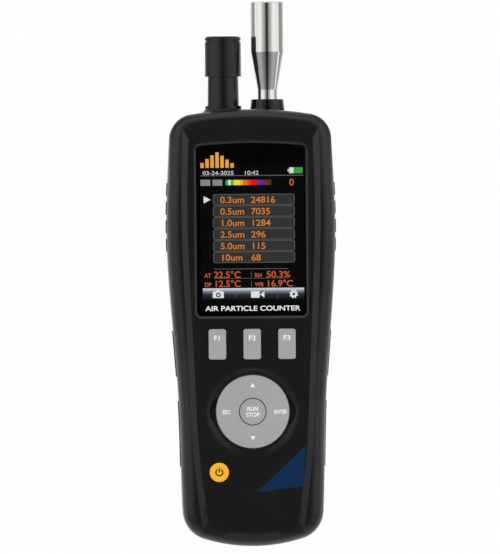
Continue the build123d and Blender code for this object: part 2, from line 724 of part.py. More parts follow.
for x in LIGHT_XS:
    rear_cuts.append(rod_z(LIGHT_R + LIGHT_FIT, x, CAMERA_Y, -WALL, WALL + FIT))
for i in range(GRILLE_COUNT):
    x = GRILLE_X + (i - (GRILLE_COUNT - 1) / 2) * GRILLE_PITCH
    slot = SlotOverall(GRILLE_L, GRILLE_W, rotation=90)
    rear_cuts.append(Pos(x, GRILLE_Y, 0) * extrude(slot, PUMP_Z, both=True))
door_seat = (door_prism(0) & outer) - case_body(DOOR_SEAT)
ribs = [rib & core for rib in rear_ribs]
rear = (shell & rear_half) - [lip_slot, door_seat, rear_cuts[0]] + ribs - rear_cuts[1:]
write("rear_cover", rear.solid())

# ---- side grips ----
write("left_grip_pads", Compound(children=grip_side(-1, 0)))
write("right_grip_pads", Compound(children=grip_side(1, 0)))

# ---- display ----
lens = Pos(0, 0, lens_z) * extrude(window_face(-WINDOW_GAP), WINDOW_T)
write("window_lens", lens)
glass_z = CEILING_Z - DISPLAY_GAP
display_x0 = DISPLAY_X - DISPLAY_W / 2
display_y0 = DISPLAY_Y - DISPLAY_L / 2
write("lcd_module", box(display_x0, display_x0 + DISPLAY_W, display_y0, display_y0 + DISPLAY_L,
                        glass_z - DISPLAY_T, glass_z))
flap_ends = [prism(0, FLAP_Z0, FLAP_Z1) & box(0, WIDTH, y - FIT, y, FLAP_Z0, FLAP_Z1)
             for y in (FLAP_Y0 + FIT, FLAP_Y1)]
jack_face_x = min(end.bounding_box().max.X for end in flap_ends) - FLAP_T - JACK_GAP
socket_x = jack_face_x - SOCKET_SETBACK
card_x1 = socket_x - CARD_INSET
spacer_half = card_x1 - CARD_L - SPACER_GAP - DISPLAY_X
spacer_y0 = DISPLAY_Y - SPACER_L / 2
spacer = box(DISPLAY_X - spacer_half, DISPLAY_X + spacer_half, spacer_y0, spacer_y0 + SPACER_L,
             board_top_z, glass_z - DISPLAY_T)
spacer -= box(DISPLAY_X - spacer_half + SPACER_WALL, DISPLAY_X + spacer_half - SPACER_WALL,
              spacer_y0 + SPACER_WALL, spacer_y0 + SPACER_L - SPACER_WALL, MAIN_Z, DEPTH)
write("display_spacer", spacer)


def field(x, y, width, height, z=glass_z):
    """Coloured field on the display or the lens, centred at x and y."""
    return Pos(x, y, z + FIELD_T / 2) * Box(width, height, FIELD_T)


rows = [field(ROW_X, ROW_TOP_Y - ROW_H / 2 - i * ROW_PITCH, ROW_W, ROW_H) for i in range(ROW_COUNT)]
write("screen_rows", Compound(children=rows))
gauge = [field(GAUGE_X + (i + 0.5) * GAUGE_STEP, GAUGE_Y, GAUGE_STEP - 2 * FIT, GAUGE_H)
         for i in range(GAUGE_COUNT)]
write("screen_gauge", Compound(children=gauge))
write("screen_key_bar", field(BAR_X, BAR_Y, BAR_W, BAR_H))
pointer_y = ROW_TOP_Y - ROW_H / 2
pointer = triangle([(POINTER_X - POINTER_W / 2, pointer_y - POINTER_H / 2),
                    (POINTER_X + POINTER_W / 2, pointer_y),
                    (POINTER_X - POINTER_W / 2, pointer_y + POINTER_H / 2)], glass_z, FIELD_T)
signs = [field(x, GAUGE_Y, TAB_W, TAB_H) for x in TAB_XS]
signs += [field(CELL_X, CELL_Y, CELL_W, CELL_H), pointer]
lens_top = lens_z + WINDOW_T
signs += [field(x, CHART_Y + h / 2, CHART_W, h, lens_top) for x, h in zip(CHART_XS, CHART_HS)]
write("screen_signs", Compound(children=signs))

# ---- keys ----
key_top_z = PANEL_Z + KEY_PROUD
for i, name in ((-1, "key_f1"), (0, "key_f2"), (1, "key_f3")):
    key = key_blank(f_key_face(0), key_top_z, f_key_face(KEY_LIP))
    write(name, Pos(i * F_KEY_PITCH, F_KEY_Y, 0) * key)
power = key_blank(Circle(POWER_R), key_top_z, Circle(POWER_R + KEY_LIP))
write("power_key", Pos(POWER_X, POWER_Y, 0) * power)

# ---- navigation ring and RUN/STOP key ----
ring_lip_z = CEILING_Z - RING_LIP_GAP
ring_low_z = ring_lip_z - RING_LIP_T
ring_top_z = DEPTH - MARK_T
run_lip_z = ring_low_z + RING_LIP_T
ring_cap = rod_z(RING_R, 0, RING_Y, ring_low_z, ring_top_z)
ring_cap = fillet(ring_cap.edges().sort_by(Axis.Z)[-1], RING_EDGE_R)
ring = ring_cap + rod_z(RING_LIP_R, 0, RING_Y, ring_low_z, ring_lip_z)
ring -= rod_z(RING_HOLE_R, 0, RING_Y, SPLIT_Z, 2 * DEPTH)
ring -= rod_z(RUN_LIP_R + RUN_LIP_GAP, 0, RING_Y, SPLIT_Z, run_lip_z)
write("nav_ring", ring)
arrows = []
for way in (-1, 1):
    tip = (0, RING_Y + way * (RING_MARK_Y + RING_MARK_H / 2))
    foot_y = RING_Y + way * (RING_MARK_Y - RING_MARK_H / 2)
    arrows.append(triangle([tip, (RING_MARK_W / 2, foot_y), (-RING_MARK_W / 2, foot_y)], ring_top_z, MARK_T))
write("ring_arrows", Compound(children=arrows))
run_low_z = run_lip_z - RUN_LIP_GAP - KEY_LIP_T
run_cap = rod_z(RUN_R, 0, RING_Y, run_low_z, ring_top_z - RUN_SUNK)
run_cap = fillet(run_cap.edges().sort_by(Axis.Z)[-1], KEY_EDGE_R)
run_key = run_cap + rod_z(RUN_LIP_R, 0, RING_Y, run_low_z, run_lip_z - RUN_LIP_GAP)
run_key += rod_z(RUN_POST_R, 0, RING_Y, key_board_top_z + KEY_TRAVEL + KEY_REST_GAP, run_low_z)
write("run_stop_key", run_key)
cushion = rod_z(CUSHION_OUT_R, 0, RING_Y, key_board_top_z + CUSHION_GAP, ring_low_z - CUSHION_GAP)
cushion -= rod_z(CUSHION_IN_R, 0, RING_Y, SPLIT_Z, DEPTH)
write("ring_cushion", cushion)

# ---- keypad mat and its board ----
mat = box(-MAT_HALF, MAT_HALF, MAT_END_Y, MAT_TOP_Y, key_board_top_z, mat_top_z)
mat -= rod_z(MAT_OPEN_R, 0, RING_Y, SPLIT_Z, DEPTH)
for x, y in key_spots:
    mat -= rod_z(POST_R + KEY_GAP, x, y, SPLIT_Z, DEPTH)
dome_spots = [(i * F_KEY_PITCH, F_KEY_Y) for i in (-1, 0, 1)] + [(POWER_X, POWER_Y)]
for x, y in dome_spots:
    mat += rod_z(DOME_R, x, y, mat_top_z, mat_top_z + MAT_GAP - KEY_REST_GAP)
write("keypad_mat", mat)
key_board = box(-MAT_HALF, MAT_HALF, MAT_END_Y, MAT_TOP_Y, key_board_z, key_board_top_z)
for x, y in key_spots:
    key_board -= rod_z(SMALL_SCREW_R + SCREW_FIT, x, y, SPLIT_Z, DEPTH)
write("key_board", key_board)

# ---- main board and what it carries ----
main_board = box(-MAIN_HALF, MAIN_HALF, MAIN_END_Y, MAIN_TOP_Y, MAIN_Z, board_top_z)
for x, y in main_spots:
    main_board -= rod_z(SMALL_SCREW_R + SCREW_FIT, x, y, SPLIT_Z, DEPTH)
write("main_board", main_board)


def small_screw(x, y, seat_z):
    """Pan-head screw driven up into a post, its head below the seat."""
    head = rod_z(SMALL_HEAD_R, x, y, seat_z - SMALL_HEAD_T, seat_z)
    return head + rod_z(SMALL_SCREW_R, x, y, seat_z, seat_z + SMALL_SCREW_L)


board_screws = [small_screw(x, y, MAIN_Z) for x, y in main_spots]
board_screws += [small_screw(x, y, key_board_z) for x, y in key_spots]
write("board_screws", Compound(children=board_screws))
write("board_link", box(-LINK_W / 2, LINK_W / 2, LINK_Y - LINK_D / 2, LINK_Y + LINK_D / 2,
                        board_top_z, key_board_z))
buzzer = rod_z(BUZZER_R, BUZZER_X, BUZZER_Y, MAIN_Z - BUZZER_H, MAIN_Z)
buzzer -= rod_z(BUZZER_HOLE_R, BUZZER_X, BUZZER_Y, MAIN_Z - 2 * BUZZER_H, MAIN_Z - BUZZER_H / 2)
write("buzzer", buzzer)
usb = box(jack_face_x - USB_L, jack_face_x, USB_Y - USB_W / 2, USB_Y + USB_W / 2, MAIN_Z - USB_H, MAIN_Z)
usb -= box(jack_face_x - USB_MOUTH, WIDTH, USB_Y - USB_W / 2 + USB_WALL, USB_Y + USB_W / 2 - USB_WALL,
           MAIN_Z - USB_H + USB_WALL, MAIN_Z - USB_WALL)
write("usb_jack", usb)
dc = box(jack_face_x - DC_L, jack_face_x, DC_Y - DC_W / 2, DC_Y + DC_W / 2, MAIN_Z - DC_W, MAIN_Z)
dc -= rod_x(DC_BORE_R, DC_Y, MAIN_Z - DC_W / 2, jack_face_x - DC_MOUTH, WIDTH)
dc += rod_x(DC_PIN_R, DC_Y, MAIN_Z - DC_W / 2, jack_face_x - DC_MOUTH, jack_face_x - DC_PIN_R)
write("dc_jack", dc)
card_z = board_top_z + (SOCKET_H - CARD_T) / 2
socket = box(socket_x - SOCKET_L, socket_x, CARD_Y - SOCKET_W / 2, CARD_Y + SOCKET_W / 2,
             board_top_z, board_top_z + SOCKET_H)
socket -= box(0, WIDTH, CARD_Y - CARD_W / 2 - CARD_GAP, CARD_Y + CARD_W / 2 + CARD_GAP,
              card_z - CARD_GAP, card_z + CARD_T + CARD_GAP)
write("card_socket", Compound(children=socket.solids()))
write("memory_card", box(card_x1 - CARD_L, card_x1, CARD_Y - CARD_W / 2, CARD_Y + CARD_W / 2,
                         card_z, card_z + CARD_T))

# ---- port flap ----
leaf_box = box(0, WIDTH, FLAP_Y0 + FLAP_GAP, FLAP_Y1 - FLAP_GAP, FLAP_Z0 + FLAP_GAP, FLAP_Z1 - FLAP_GAP)
leaf = (prism(0, FLAP_Z0, FLAP_Z1) - prism(FLAP_T, FLAP_Z0, FLAP_Z1)) & leaf_box
plug_in = FLAP_LEDGE + FLAP_PLUG_GAP
plug = box(jack_face_x + FLAP_PLUG_GAP, HEAD_HALF, FLAP_Y0 + plug_in, FLAP_Y1 - plug_in,
           FLAP_Z0 + 2 * plug_in, FLAP_Z1 - 2 * plug_in) & prism(FLAP_T / 2, FLAP_Z0, FLAP_Z1)
nail_y = (FLAP_Y0 + FLAP_Y1) / 2
nail = rod_x(FLAP_NAIL_R, nail_y, FLAP_Z1, HEAD_HALF - FLAP_T, WIDTH)
write("port_flap", (leaf + plug - nail).solid())

# ---- temperature and humidity sensor ----
neck_lip_y1 = HEAD_TOP_Y - bow(HEAD_TOP_R, abs(SENSOR_X) + NECK_LIP_R) - WALL - NECK_LIP_GAP
neck_lip_y0 = neck_lip_y1 - NECK_LIP_T
stem = cone_y(STEM_R, STEM_TOP_R, SENSOR_X, SPLIT_Z, FLANGE_Y + FLANGE_T, STEM_TOP_Y)
stem += rod_y(FLANGE_R, SENSOR_X, SPLIT_Z, FLANGE_Y, FLANGE_Y + FLANGE_T)
stem += rod_y(SPIGOT_R, SENSOR_X, SPLIT_Z, neck_lip_y0, FLANGE_Y)
stem += rod_y(NECK_LIP_R, SENSOR_X, SPLIT_Z, neck_lip_y0, neck_lip_y1)
stem -= rod_y(CAGE_R - CAGE_WALL, SENSOR_X, SPLIT_Z, neck_lip_y1, PROBE_TIP_Y)
write("sensor_stem", stem)
cage = rod_y(CAGE_R, SENSOR_X, SPLIT_Z, STEM_TOP_Y, CAGE_TOP_Y)
cage += rod_y(CAGE_COLLAR_R, SENSOR_X, SPLIT_Z, STEM_TOP_Y, STEM_TOP_Y + CAGE_COLLAR_H)
cage -= rod_y(CAGE_R - CAGE_WALL, SENSOR_X, SPLIT_Z, 0, CAGE_TOP_Y - CAGE_WALL)
for i in range(CAGE_SLOTS // 2):
    slot = box(-CAGE_R - WALL, CAGE_R + WALL, CAGE_SLOT_Y0, CAGE_SLOT_Y1, -CAGE_SLOT_W / 2, CAGE_SLOT_W / 2)
    cage -= Pos(SENSOR_X, 0, SPLIT_Z) * Rot(0, i * 360 / CAGE_SLOTS, 0) * slot
write("sensor_cage", cage)
write("sensor_board", box(SENSOR_X - CHIP_W / 2, SENSOR_X + CHIP_W / 2, neck_lip_y1, CHIP_TOP_Y,
                          SPLIT_Z - CHIP_T / 2, SPLIT_Z + CHIP_T / 2))
cap_y0 = STEM_TOP_Y + CAP_SEAT
cap = rod_y(CAP_R, SENSOR_X, SPLIT_Z, cap_y0, CAP_TOP_Y)
cap = fillet(cap.edges().sort_by(Axis.Y)[-1], CAP_EDGE_R)
cap += cone_y(CAP_LIP_R, CAP_R, SENSOR_X, SPLIT_Z, cap_y0, cap_y0 + CAP_LIP_H)
groove = rod_y(CAP_LIP_R, SENSOR_X, SPLIT_Z, CAP_GROOVE_Y, CAP_GROOVE_Y + CAP_GROOVE_W)
cap -= groove - rod_y(CAP_R - CAP_GROOVE, SENSOR_X, SPLIT_Z, CAP_GROOVE_Y, CAP_GROOVE_Y + CAP_GROOVE_W)
cap -= rod_y(CAGE_COLLAR_R + CAP_FIT, SENSOR_X, SPLIT_Z, 0, CAP_TOP_Y - CAP_ROOF)
write("sensor_cap", cap)

# ---- base of the sampling probe ----
thread_y0 = BASE_TOP_Y - THREAD_L
barb_lip_y1 = HEAD_TOP_Y - bow(HEAD_TOP_R, PROBE_X + NECK_LIP_R) - WALL - NECK_LIP_GAP
barb_lip_y0 = barb_lip_y1 - NECK_LIP_T
base = cone_y(BASE_R, BASE_TOP_R, PROBE_X, SPLIT_Z, base_low_y, BASE_TOP_Y)
base += rod_y(SPIGOT_R, PROBE_X, SPLIT_Z, barb_lip_y0, base_low_y)
base += rod_y(NECK_LIP_R, PROBE_X, SPLIT_Z, barb_lip_y0, barb_lip_y1)
base += rod_y(BARB_R, PROBE_X, SPLIT_Z, BARB_END_Y, barb_lip_y0)
base -= rod_y(OPTIC_BORE_R, PROBE_X, SPLIT_Z, 0, PROBE_TIP_Y)
base -= rod_y(THREAD_R + THREAD_FIT, PROBE_X, SPLIT_Z, thread_y0 - CAP_SEAT, PROBE_TIP_Y)
base -= rod_y(SEAL_BORE_R, PROBE_X, SPLIT_Z, BASE_TOP_Y - SEAL_DEPTH, PROBE_TIP_Y)
write("probe_base", base)

# ---- isokinetic sampling probe, turned from one bar ----
lip_r = PROBE_BODY_R - PROBE_LIP
probe_outer = [(PROBE_BORE_R, thread_y0), (THREAD_R, thread_y0), (THREAD_R, BASE_TOP_Y - SEAL_DEPTH),
               (THREAD_RELIEF_R, BASE_TOP_Y - SEAL_DEPTH), (THREAD_RELIEF_R, BASE_TOP_Y),
               (PROBE_NECK_R, BASE_TOP_Y), (PROBE_NECK_R, PROBE_NECK_TOP_Y),
               (PROBE_BODY_R, PROBE_SHOULDER_Y), (PROBE_BODY_R, PROBE_TIP_Y - PROBE_LIP),
               (lip_r, PROBE_TIP_Y), (PROBE_BODY_R - PROBE_WALL, PROBE_TIP_Y - PROBE_LIP),
               (PROBE_BODY_R - PROBE_WALL, PROBE_SHOULDER_Y + PROBE_WALL / 2),
               (PROBE_BORE_R, PROBE_NECK_TOP_Y), (PROBE_BORE_R, thread_y0)]
probe_face = make_face(Polyline(*probe_outer))
probe = Pos(PROBE_X, 0, SPLIT_Z) * revolve(probe_face, Axis.Y)
write("sampling_probe", probe)
seal = Torus(SEAL_R, SEAL_SECTION_R)
write("probe_o_ring", Pos(PROBE_X, BASE_TOP_Y - SEAL_DEPTH / 2, SPLIT_Z) * Rot(90, 0, 0) * seal)

# ---- optical measuring block ----
optic = box(OPTIC_X0, OPTIC_X1, OPTIC_Y0, OPTIC_Y1, OPTIC_Z0 + OPTIC_GAP, OPTIC_Z1)
optic += rod_y(BARB_R, PROBE_X, SPLIT_Z, OPTIC_Y1, OPTIC_NIPPLE_Y)
optic += rod_y(NIPPLE_R, SUCTION_X, PUMP_Z, OPTIC_Y0 - NIPPLE_L, OPTIC_Y0)
optic -= rod_x(LASER_R + LASER_FIT, LASER_Y, LASER_Z, OPTIC_X1 - LASER_DEPTH, WIDTH)
optic -= rod_x(SENSE_R, LASER_Y, LASER_Z, OPTIC_X0 - WALL, OPTIC_X1)
optic -= rod_y(OPTIC_BORE_R, PROBE_X, SPLIT_Z, LASER_Y, PROBE_TIP_Y)
optic -= rod_z(OPTIC_BORE_R, PROBE_X, LASER_Y, PUMP_Z, SPLIT_Z)
optic -= rod_x(OPTIC_BORE_R, LASER_Y, PUMP_Z, SUCTION_X, PROBE_X)
optic -= rod_y(NIPPLE_BORE_R, SUCTION_X, PUMP_Z, 0, LASER_Y)
for x, y in optic_spots:
    optic -= rod_z(SMALL_SCREW_R + SCREW_FIT, x, y, 0, OPTIC_Z0 + 2 * SMALL_SCREW_L)
    optic -= rod_z(SMALL_HEAD_R + SCREW_FIT, x, y, OPTIC_Z0 + SMALL_SCREW_L / 2, DEPTH)
write("optical_block", optic)
optic_screws = []
for x, y in optic_spots:
    seat = OPTIC_Z0 + SMALL_SCREW_L / 2
    screw = rod_z(SMALL_HEAD_R, x, y, seat, seat + SMALL_HEAD_T)
    optic_screws.append(screw + rod_z(SMALL_SCREW_R, x, y, WALL + OPTIC_GAP, seat))
write("optical_block_screws", Compound(children=optic_screws))
laser_x0 = OPTIC_X1 - LASER_DEPTH + OPTIC_GAP
write("laser_module", rod_x(LASER_R, LASER_Y, LASER_Z, laser_x0, laser_x0 + LASER_L))
write("detector_board", box(OPTIC_X0 - OPTIC_GAP - BOARD_T, OPTIC_X0 - OPTIC_GAP, LASER_Y - DETECTOR_W / 2,
                            LASER_Y + DETECTOR_W / 2, LASER_Z - DETECTOR_H / 2, LASER_Z + DETECTOR_H / 2))

# ---- air pump ----
pump_head = box(PUMP_X - PUMP_HALF, PUMP_X + PUMP_HALF, PUMP_HEAD_Y, PUMP_MOTOR_Y,
                PUMP_Z - PUMP_HALF, PUMP_Z + PUMP_HALF)
pump_head -= rod_y(PUMP_CHAMBER_R, PUMP_X, PUMP_Z, 0, PUMP_HEAD_Y + PUMP_CHAMBER_L)
pump_head -= rod_y(SHAFT_R + SHAFT_FIT, PUMP_X, PUMP_Z + ROTOR_SHIFT, 0, PUMP_END_Y)
write("pump_head", pump_head)
pump_cover = box(PUMP_X - PUMP_HALF, PUMP_X + PUMP_HALF, PUMP_COVER_Y, PUMP_HEAD_Y,
                 PUMP_Z - PUMP_HALF, PUMP_Z + PUMP_HALF)
for x in (PUMP_X - PORT_SHIFT, PUMP_X + PORT_SHIFT):
    pump_cover += rod_y(NIPPLE_R, x, PUMP_Z, PUMP_COVER_Y - NIPPLE_L, PUMP_COVER_Y)
    pump_cover -= rod_y(NIPPLE_BORE_R, x, PUMP_Z, 0, PUMP_HEAD_Y)
write("pump_cover", pump_cover)
motor = rod_y(PUMP_MOTOR_R, PUMP_X, PUMP_Z, PUMP_MOTOR_Y, PUMP_END_Y)
motor -= rod_y(SHAFT_R + SHAFT_FIT, PUMP_X, PUMP_Z + ROTOR_SHIFT, 0, PUMP_MOTOR_Y + SHAFT_L)
write("pump_motor", motor)
rotor_y0 = PUMP_HEAD_Y + ROTOR_GAP
rotor_y1 = PUMP_HEAD_Y + PUMP_CHAMBER_L - ROTOR_GAP
rotor = rod_y(ROTOR_R, PUMP_X, PUMP_Z + ROTOR_SHIFT, rotor_y0, rotor_y1)
vane = box(ROTOR_R - VANE_SLOT_D, 2 * ROTOR_R, rotor_y0 - WALL, rotor_y1 + WALL,
           -VANE_SLOT_W / 2, VANE_SLOT_W / 2)
for i in range(4):
    rotor -= Pos(PUMP_X, 0, PUMP_Z + ROTOR_SHIFT) * Rot(0, i * 90, 0) * vane
rotor += rod_y(SHAFT_R, PUMP_X, PUMP_Z + ROTOR_SHIFT, rotor_y1, PUMP_MOTOR_Y + SHAFT_L - ROTOR_GAP)
write("pump_rotor", rotor)

# ---- hoses and exhaust filter ----


def straight_hose(bore, x, z, y0, y1):
    return rod_y(bore + HOSE_WALL, x, z, y0, y1) - rod_y(bore, x, z, y0 - WALL, y1 + WALL)


write("sampling_hose", straight_hose(BARB_R + HOSE_FIT, PROBE_X, SPLIT_Z, OPTIC_Y1 + HOSE_END_GAP,
                                     barb_lip_y0 - HOSE_END_GAP))
hose_bore = NIPPLE_R + HOSE_FIT
inlet_x = PUMP_X + PORT_SHIFT
suction_line = FilletPolyline((SUCTION_X, OPTIC_Y0 - HOSE_END_GAP, PUMP_Z), (SUCTION_X, SUCTION_END_Y, PUMP_Z),
                              (inlet_x, SUCTION_END_Y, PUMP_Z),
                              (inlet_x, PUMP_COVER_Y - HOSE_END_GAP, PUMP_Z), radius=SUCTION_BEND_R)
suction_start = Plane((SUCTION_X, OPTIC_Y0 - HOSE_END_GAP, PUMP_Z), z_dir=(0, -1, 0))
suction_hose = sweep(suction_start * Circle(hose_bore + HOSE_WALL), suction_line)
suction_hose -= sweep(suction_start * Circle(hose_bore), suction_line)
write("suction_hose", suction_hose)
write("exhaust_hose", straight_hose(hose_bore, outlet_x, PUMP_Z, FILTER_Y1 + HOSE_END_GAP,
                                    PUMP_COVER_Y - HOSE_END_GAP))
air_filter = rod_y(FILTER_R, outlet_x, PUMP_Z, FILTER_Y0, FILTER_Y1)
air_filter = fillet(air_filter.edges(), HOSE_WALL)
air_filter += rod_y(NIPPLE_R, outlet_x, PUMP_Z, FILTER_Y0 - NIPPLE_L, FILTER_Y1 + NIPPLE_L)
air_filter -= rod_y(NIPPLE_BORE_R, outlet_x, PUMP_Z, FILTER_Y1, PROBE_TIP_Y)
air_filter -= rod_y(NIPPLE_BORE_R, outlet_x, PUMP_Z, HEEL_Y, FILTER_Y0)
write("exhaust_filter", air_filter)

# ---- battery and its door ----
battery_z0 = ARCH_RISE + WALL + BATTERY_GAP
battery_y0 = BATTERY_TOP_Y - BATTERY_L
battery = box(-BATTERY_W / 2, BATTERY_W / 2, battery_y0, BATTERY_TOP_Y, battery_z0, battery_z0 + BATTERY_T)
battery = fillet(battery.edges().filter_by(Axis.Y), BATTERY_CORNER_R)
write("battery_pack", battery)
contact_y0 = BATTERY_TOP_Y + BATTERY_GAP
contact_z0 = BAY_TOP_Z - CONTACT_H
contacts = [box(x - CONTACT_W / 2, x + CONTACT_W / 2, contact_y0, contact_y0 + CONTACT_T,
                contact_z0, BAY_TOP_Z) for x in CONTACT_XS]
write("battery_contacts", Compound(children=contacts))
door = (door_prism(-DOOR_GAP) & outer) - case_body(DOOR_T)
door += rod_z(DOOR_PAD_R, 0, DOOR_SCREW_Y, DOOR_T / 2, DOOR_PAD_Z)
door -= [rod_z(DOOR_SCREW_R + DOOR_SCREW_FIT, 0, DOOR_SCREW_Y, -WALL, DEPTH),
         rod_z(DOOR_HEAD_R + DOOR_GAP, 0, DOOR_SCREW_Y, -WALL, DOOR_HEAD_Z1)]
write("battery_door", door.solid())
write("door_screw", rod_z(DOOR_HEAD_R, 0, DOOR_SCREW_Y, DOOR_HEAD_Z0, DOOR_HEAD_Z1)
      + rod_z(DOOR_SCREW_R, 0, DOOR_SCREW_Y, DOOR_HEAD_Z1, DOOR_SCREW_TIP_Z))

# ---- tripod bush, case screws ----
bush = rod_z(TRIPOD_BUSH_R, 0, TRIPOD_Y, 0, tripod_top_z) & case_body(TRIPOD_SUNK)
bush -= rod_z(TRIPOD_BORE_R, 0, TRIPOD_Y, -WALL, DEPTH)
write("tripod_bush", bush.solid())
case_screws = []
for x, y in SCREW_SPOTS:
    screw = rod_z(SCREW_HEAD_R, x, y, SCREW_SEAT_Z - SCREW_HEAD_T, SCREW_SEAT_Z)
    case_screws.append(screw + rod_z(SCREW_R, x, y, SCREW_SEAT_Z, SCREW_TIP_Z))
write("case_screws", Compound(children=case_screws))

# ---- camera and lights in the back of the head ----
bezel = rod_z(BEZEL_R, 0, CAMERA_Y, BEZEL_SUNK, BEZEL_T)
bezel -= rod_z(CAMERA_GLASS_R + FIT, 0, CAMERA_Y, -WALL, BEZEL_SUNK + CAMERA_GLASS_T)
bezel -= rod_z(CAMERA_BARREL_R + FIT, 0, CAMERA_Y, -WALL, DEPTH)
write("camera_bezel", bezel)
write("camera_window", rod_z(CAMERA_GLASS_R, 0, CAMERA_Y, BEZEL_SUNK + FIT, BEZEL_SUNK + CAMERA_GLASS_T))
camera_z = WALL + FIT
camera = box(-CAMERA_W / 2, CAMERA_W / 2, CAMERA_Y - CAMERA_W / 2, CAMERA_Y + CAMERA_W / 2,
             camera_z, camera_z + CAMERA_H)
camera += rod_z(CAMERA_BARREL_R, 0, CAMERA_Y, BEZEL_SUNK + CAMERA_GLASS_T + FIT, camera_z)
write("camera_module", camera)
lights = []
for x in LIGHT_XS:
    lamp = rod_z(LIGHT_R, x, CAMERA_Y, BEZEL_SUNK, BEZEL_SUNK + LIGHT_L)
    lights.append(fillet(lamp.edges().sort_by(Axis.Z)[0], LIGHT_R / 2))
write("flash_lights", Compound(children=lights))

# ---- corner decal ----
DECAL_POINTS = ((23.4, -75.4), (22.0, -93.7), (1.8, -96.0))
write("corner_decal", triangle(DECAL_POINTS, PANEL_Z, MARK_T))
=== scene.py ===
import bmesh
import bpy
from math import cos, radians, sin
from mathutils import Matrix, Vector
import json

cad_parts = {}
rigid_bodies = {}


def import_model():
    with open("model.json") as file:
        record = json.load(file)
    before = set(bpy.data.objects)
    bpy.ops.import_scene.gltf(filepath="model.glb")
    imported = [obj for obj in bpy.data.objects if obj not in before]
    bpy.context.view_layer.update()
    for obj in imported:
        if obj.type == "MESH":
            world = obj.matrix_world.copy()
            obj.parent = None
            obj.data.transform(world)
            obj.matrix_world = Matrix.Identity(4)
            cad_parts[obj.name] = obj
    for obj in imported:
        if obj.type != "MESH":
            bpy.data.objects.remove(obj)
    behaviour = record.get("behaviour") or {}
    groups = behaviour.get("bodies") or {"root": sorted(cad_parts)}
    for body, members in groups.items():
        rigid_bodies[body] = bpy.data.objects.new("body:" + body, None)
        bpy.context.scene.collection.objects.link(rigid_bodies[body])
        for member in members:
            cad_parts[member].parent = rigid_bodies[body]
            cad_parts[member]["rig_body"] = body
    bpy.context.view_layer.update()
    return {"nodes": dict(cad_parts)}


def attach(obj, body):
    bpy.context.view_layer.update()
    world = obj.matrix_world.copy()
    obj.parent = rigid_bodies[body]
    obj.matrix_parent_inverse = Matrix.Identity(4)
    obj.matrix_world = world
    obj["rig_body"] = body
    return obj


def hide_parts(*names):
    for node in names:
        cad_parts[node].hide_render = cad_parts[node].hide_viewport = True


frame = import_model()

# Camera: it looks straight down on the instrument, which lies on its back. A
# long lens keeps the sides upright, and a small roll gives the slight lean.
MM = 0.001
VIEW_WIDTH = 220.8 * MM
VIEW_DISTANCE = 6.0
VIEW_CENTRE = Vector((-0.415, -1.5, 30)) * MM
VIEW_LEAN = radians(0.7)
VIEW_ROLL = radians(-0.46)
SENSOR = 36
CLIP_END = 20
camera_data = bpy.data.cameras.new("camera")
camera_data.sensor_fit = "HORIZONTAL"
camera_data.sensor_width = SENSOR
camera_data.lens = SENSOR * VIEW_DISTANCE / VIEW_WIDTH
camera_data.clip_end = CLIP_END
camera = bpy.data.objects.new("camera", camera_data)
bpy.context.scene.collection.objects.link(camera)
backwards = Vector((-sin(VIEW_LEAN), 0, cos(VIEW_LEAN)))
across = Vector((0, 1, 0)).cross(backwards).normalized()
turn = Matrix((across, backwards.cross(across), backwards)).transposed().to_4x4()
camera.matrix_world = (Matrix.Translation(VIEW_CENTRE + VIEW_DISTANCE * backwards)
                       @ turn @ Matrix.Rotation(VIEW_ROLL, 4, "Z"))
bpy.context.scene.camera = camera
bpy.context.scene.view_settings.view_transform = "Standard"


# Studio tent: an even pale light all round. What shines mirrors a tent with a
# narrow dark flag overhead, duller towards the foot and bright at both ends.
def linear(hex_colour):
    """The linear colour of an sRGB hex value."""
    shares = [int(hex_colour[i:i + 2], 16) / 255 for i in (1, 3, 5)]
    return [s / 12.92 if s <= 0.04045 else ((s + 0.055) / 1.055) ** 2.4 for s in shares] + [1]


def add(tree, kind, sockets={}, **settings):
    """A new node with its settings, and with sockets given a value or another node's output."""
    new = tree.nodes.new(kind)
    for name, value in settings.items():
        setattr(new, name, value)
    for name, value in sockets.items():
        if isinstance(value, bpy.types.NodeSocket):
            tree.links.new(value, new.inputs[name])
        else:
            new.inputs[name].default_value = value
    return new


def set_stops(ramp, stops):
    """Give a colour ramp its own stops: (place, colour)."""
    for at, colour in stops:
        ramp.elements.new(at).color = colour
    ramp.elements.remove(ramp.elements[0])
    ramp.elements.remove(ramp.elements[-1])


TENT_LIGHT = 0.9
TENT_MIRROR = ((0.0, 0.02), (0.12, 0.05), (0.22, 0.30), (0.45, 0.5), (0.66, 0.9), (0.8, 1.0),
               (0.95, 0.8), (1.0, 0.45))
FOOT_LIGHT, FOOT_FROM, FOOT_TO = 0.42, -0.10, -0.03
HEAD_LIGHT, HEAD_FROM, HEAD_TO = 1.0, 0.7, 0.9
HEEL_LIGHT, HEEL_FROM, HEEL_TO = 0.6, -0.35, -0.7
tent = bpy.data.worlds.new("tent")
bpy.context.scene.world = tent
tent.cycles.sampling_method = "NONE"
tent.use_nodes = True
tree = tent.node_tree
tree.nodes.clear()
ray = add(tree, "ShaderNodeLightPath")
aim = add(tree, "ShaderNodeSeparateXYZ", {"Vector": add(tree, "ShaderNodeTexCoord").outputs["Generated"]})
side = add(tree, "ShaderNodeMath", {0: aim.outputs["X"]}, operation="ABSOLUTE")
flag = add(tree, "ShaderNodeValToRGB", {"Fac": side.outputs[0]})
set_stops(flag.color_ramp, [(at, (light, light, light, 1)) for at, light in TENT_MIRROR])
foot = add(tree, "ShaderNodeMapRange", {"Value": aim.outputs["Y"], "From Min": FOOT_FROM, "From Max": FOOT_TO,
                                        "To Min": FOOT_LIGHT, "To Max": 1.0})
head = add(tree, "ShaderNodeMapRange", {"Value": aim.outputs["Y"], "From Min": HEAD_FROM, "From Max": HEAD_TO,
                                        "To Min": 0.0, "To Max": HEAD_LIGHT})
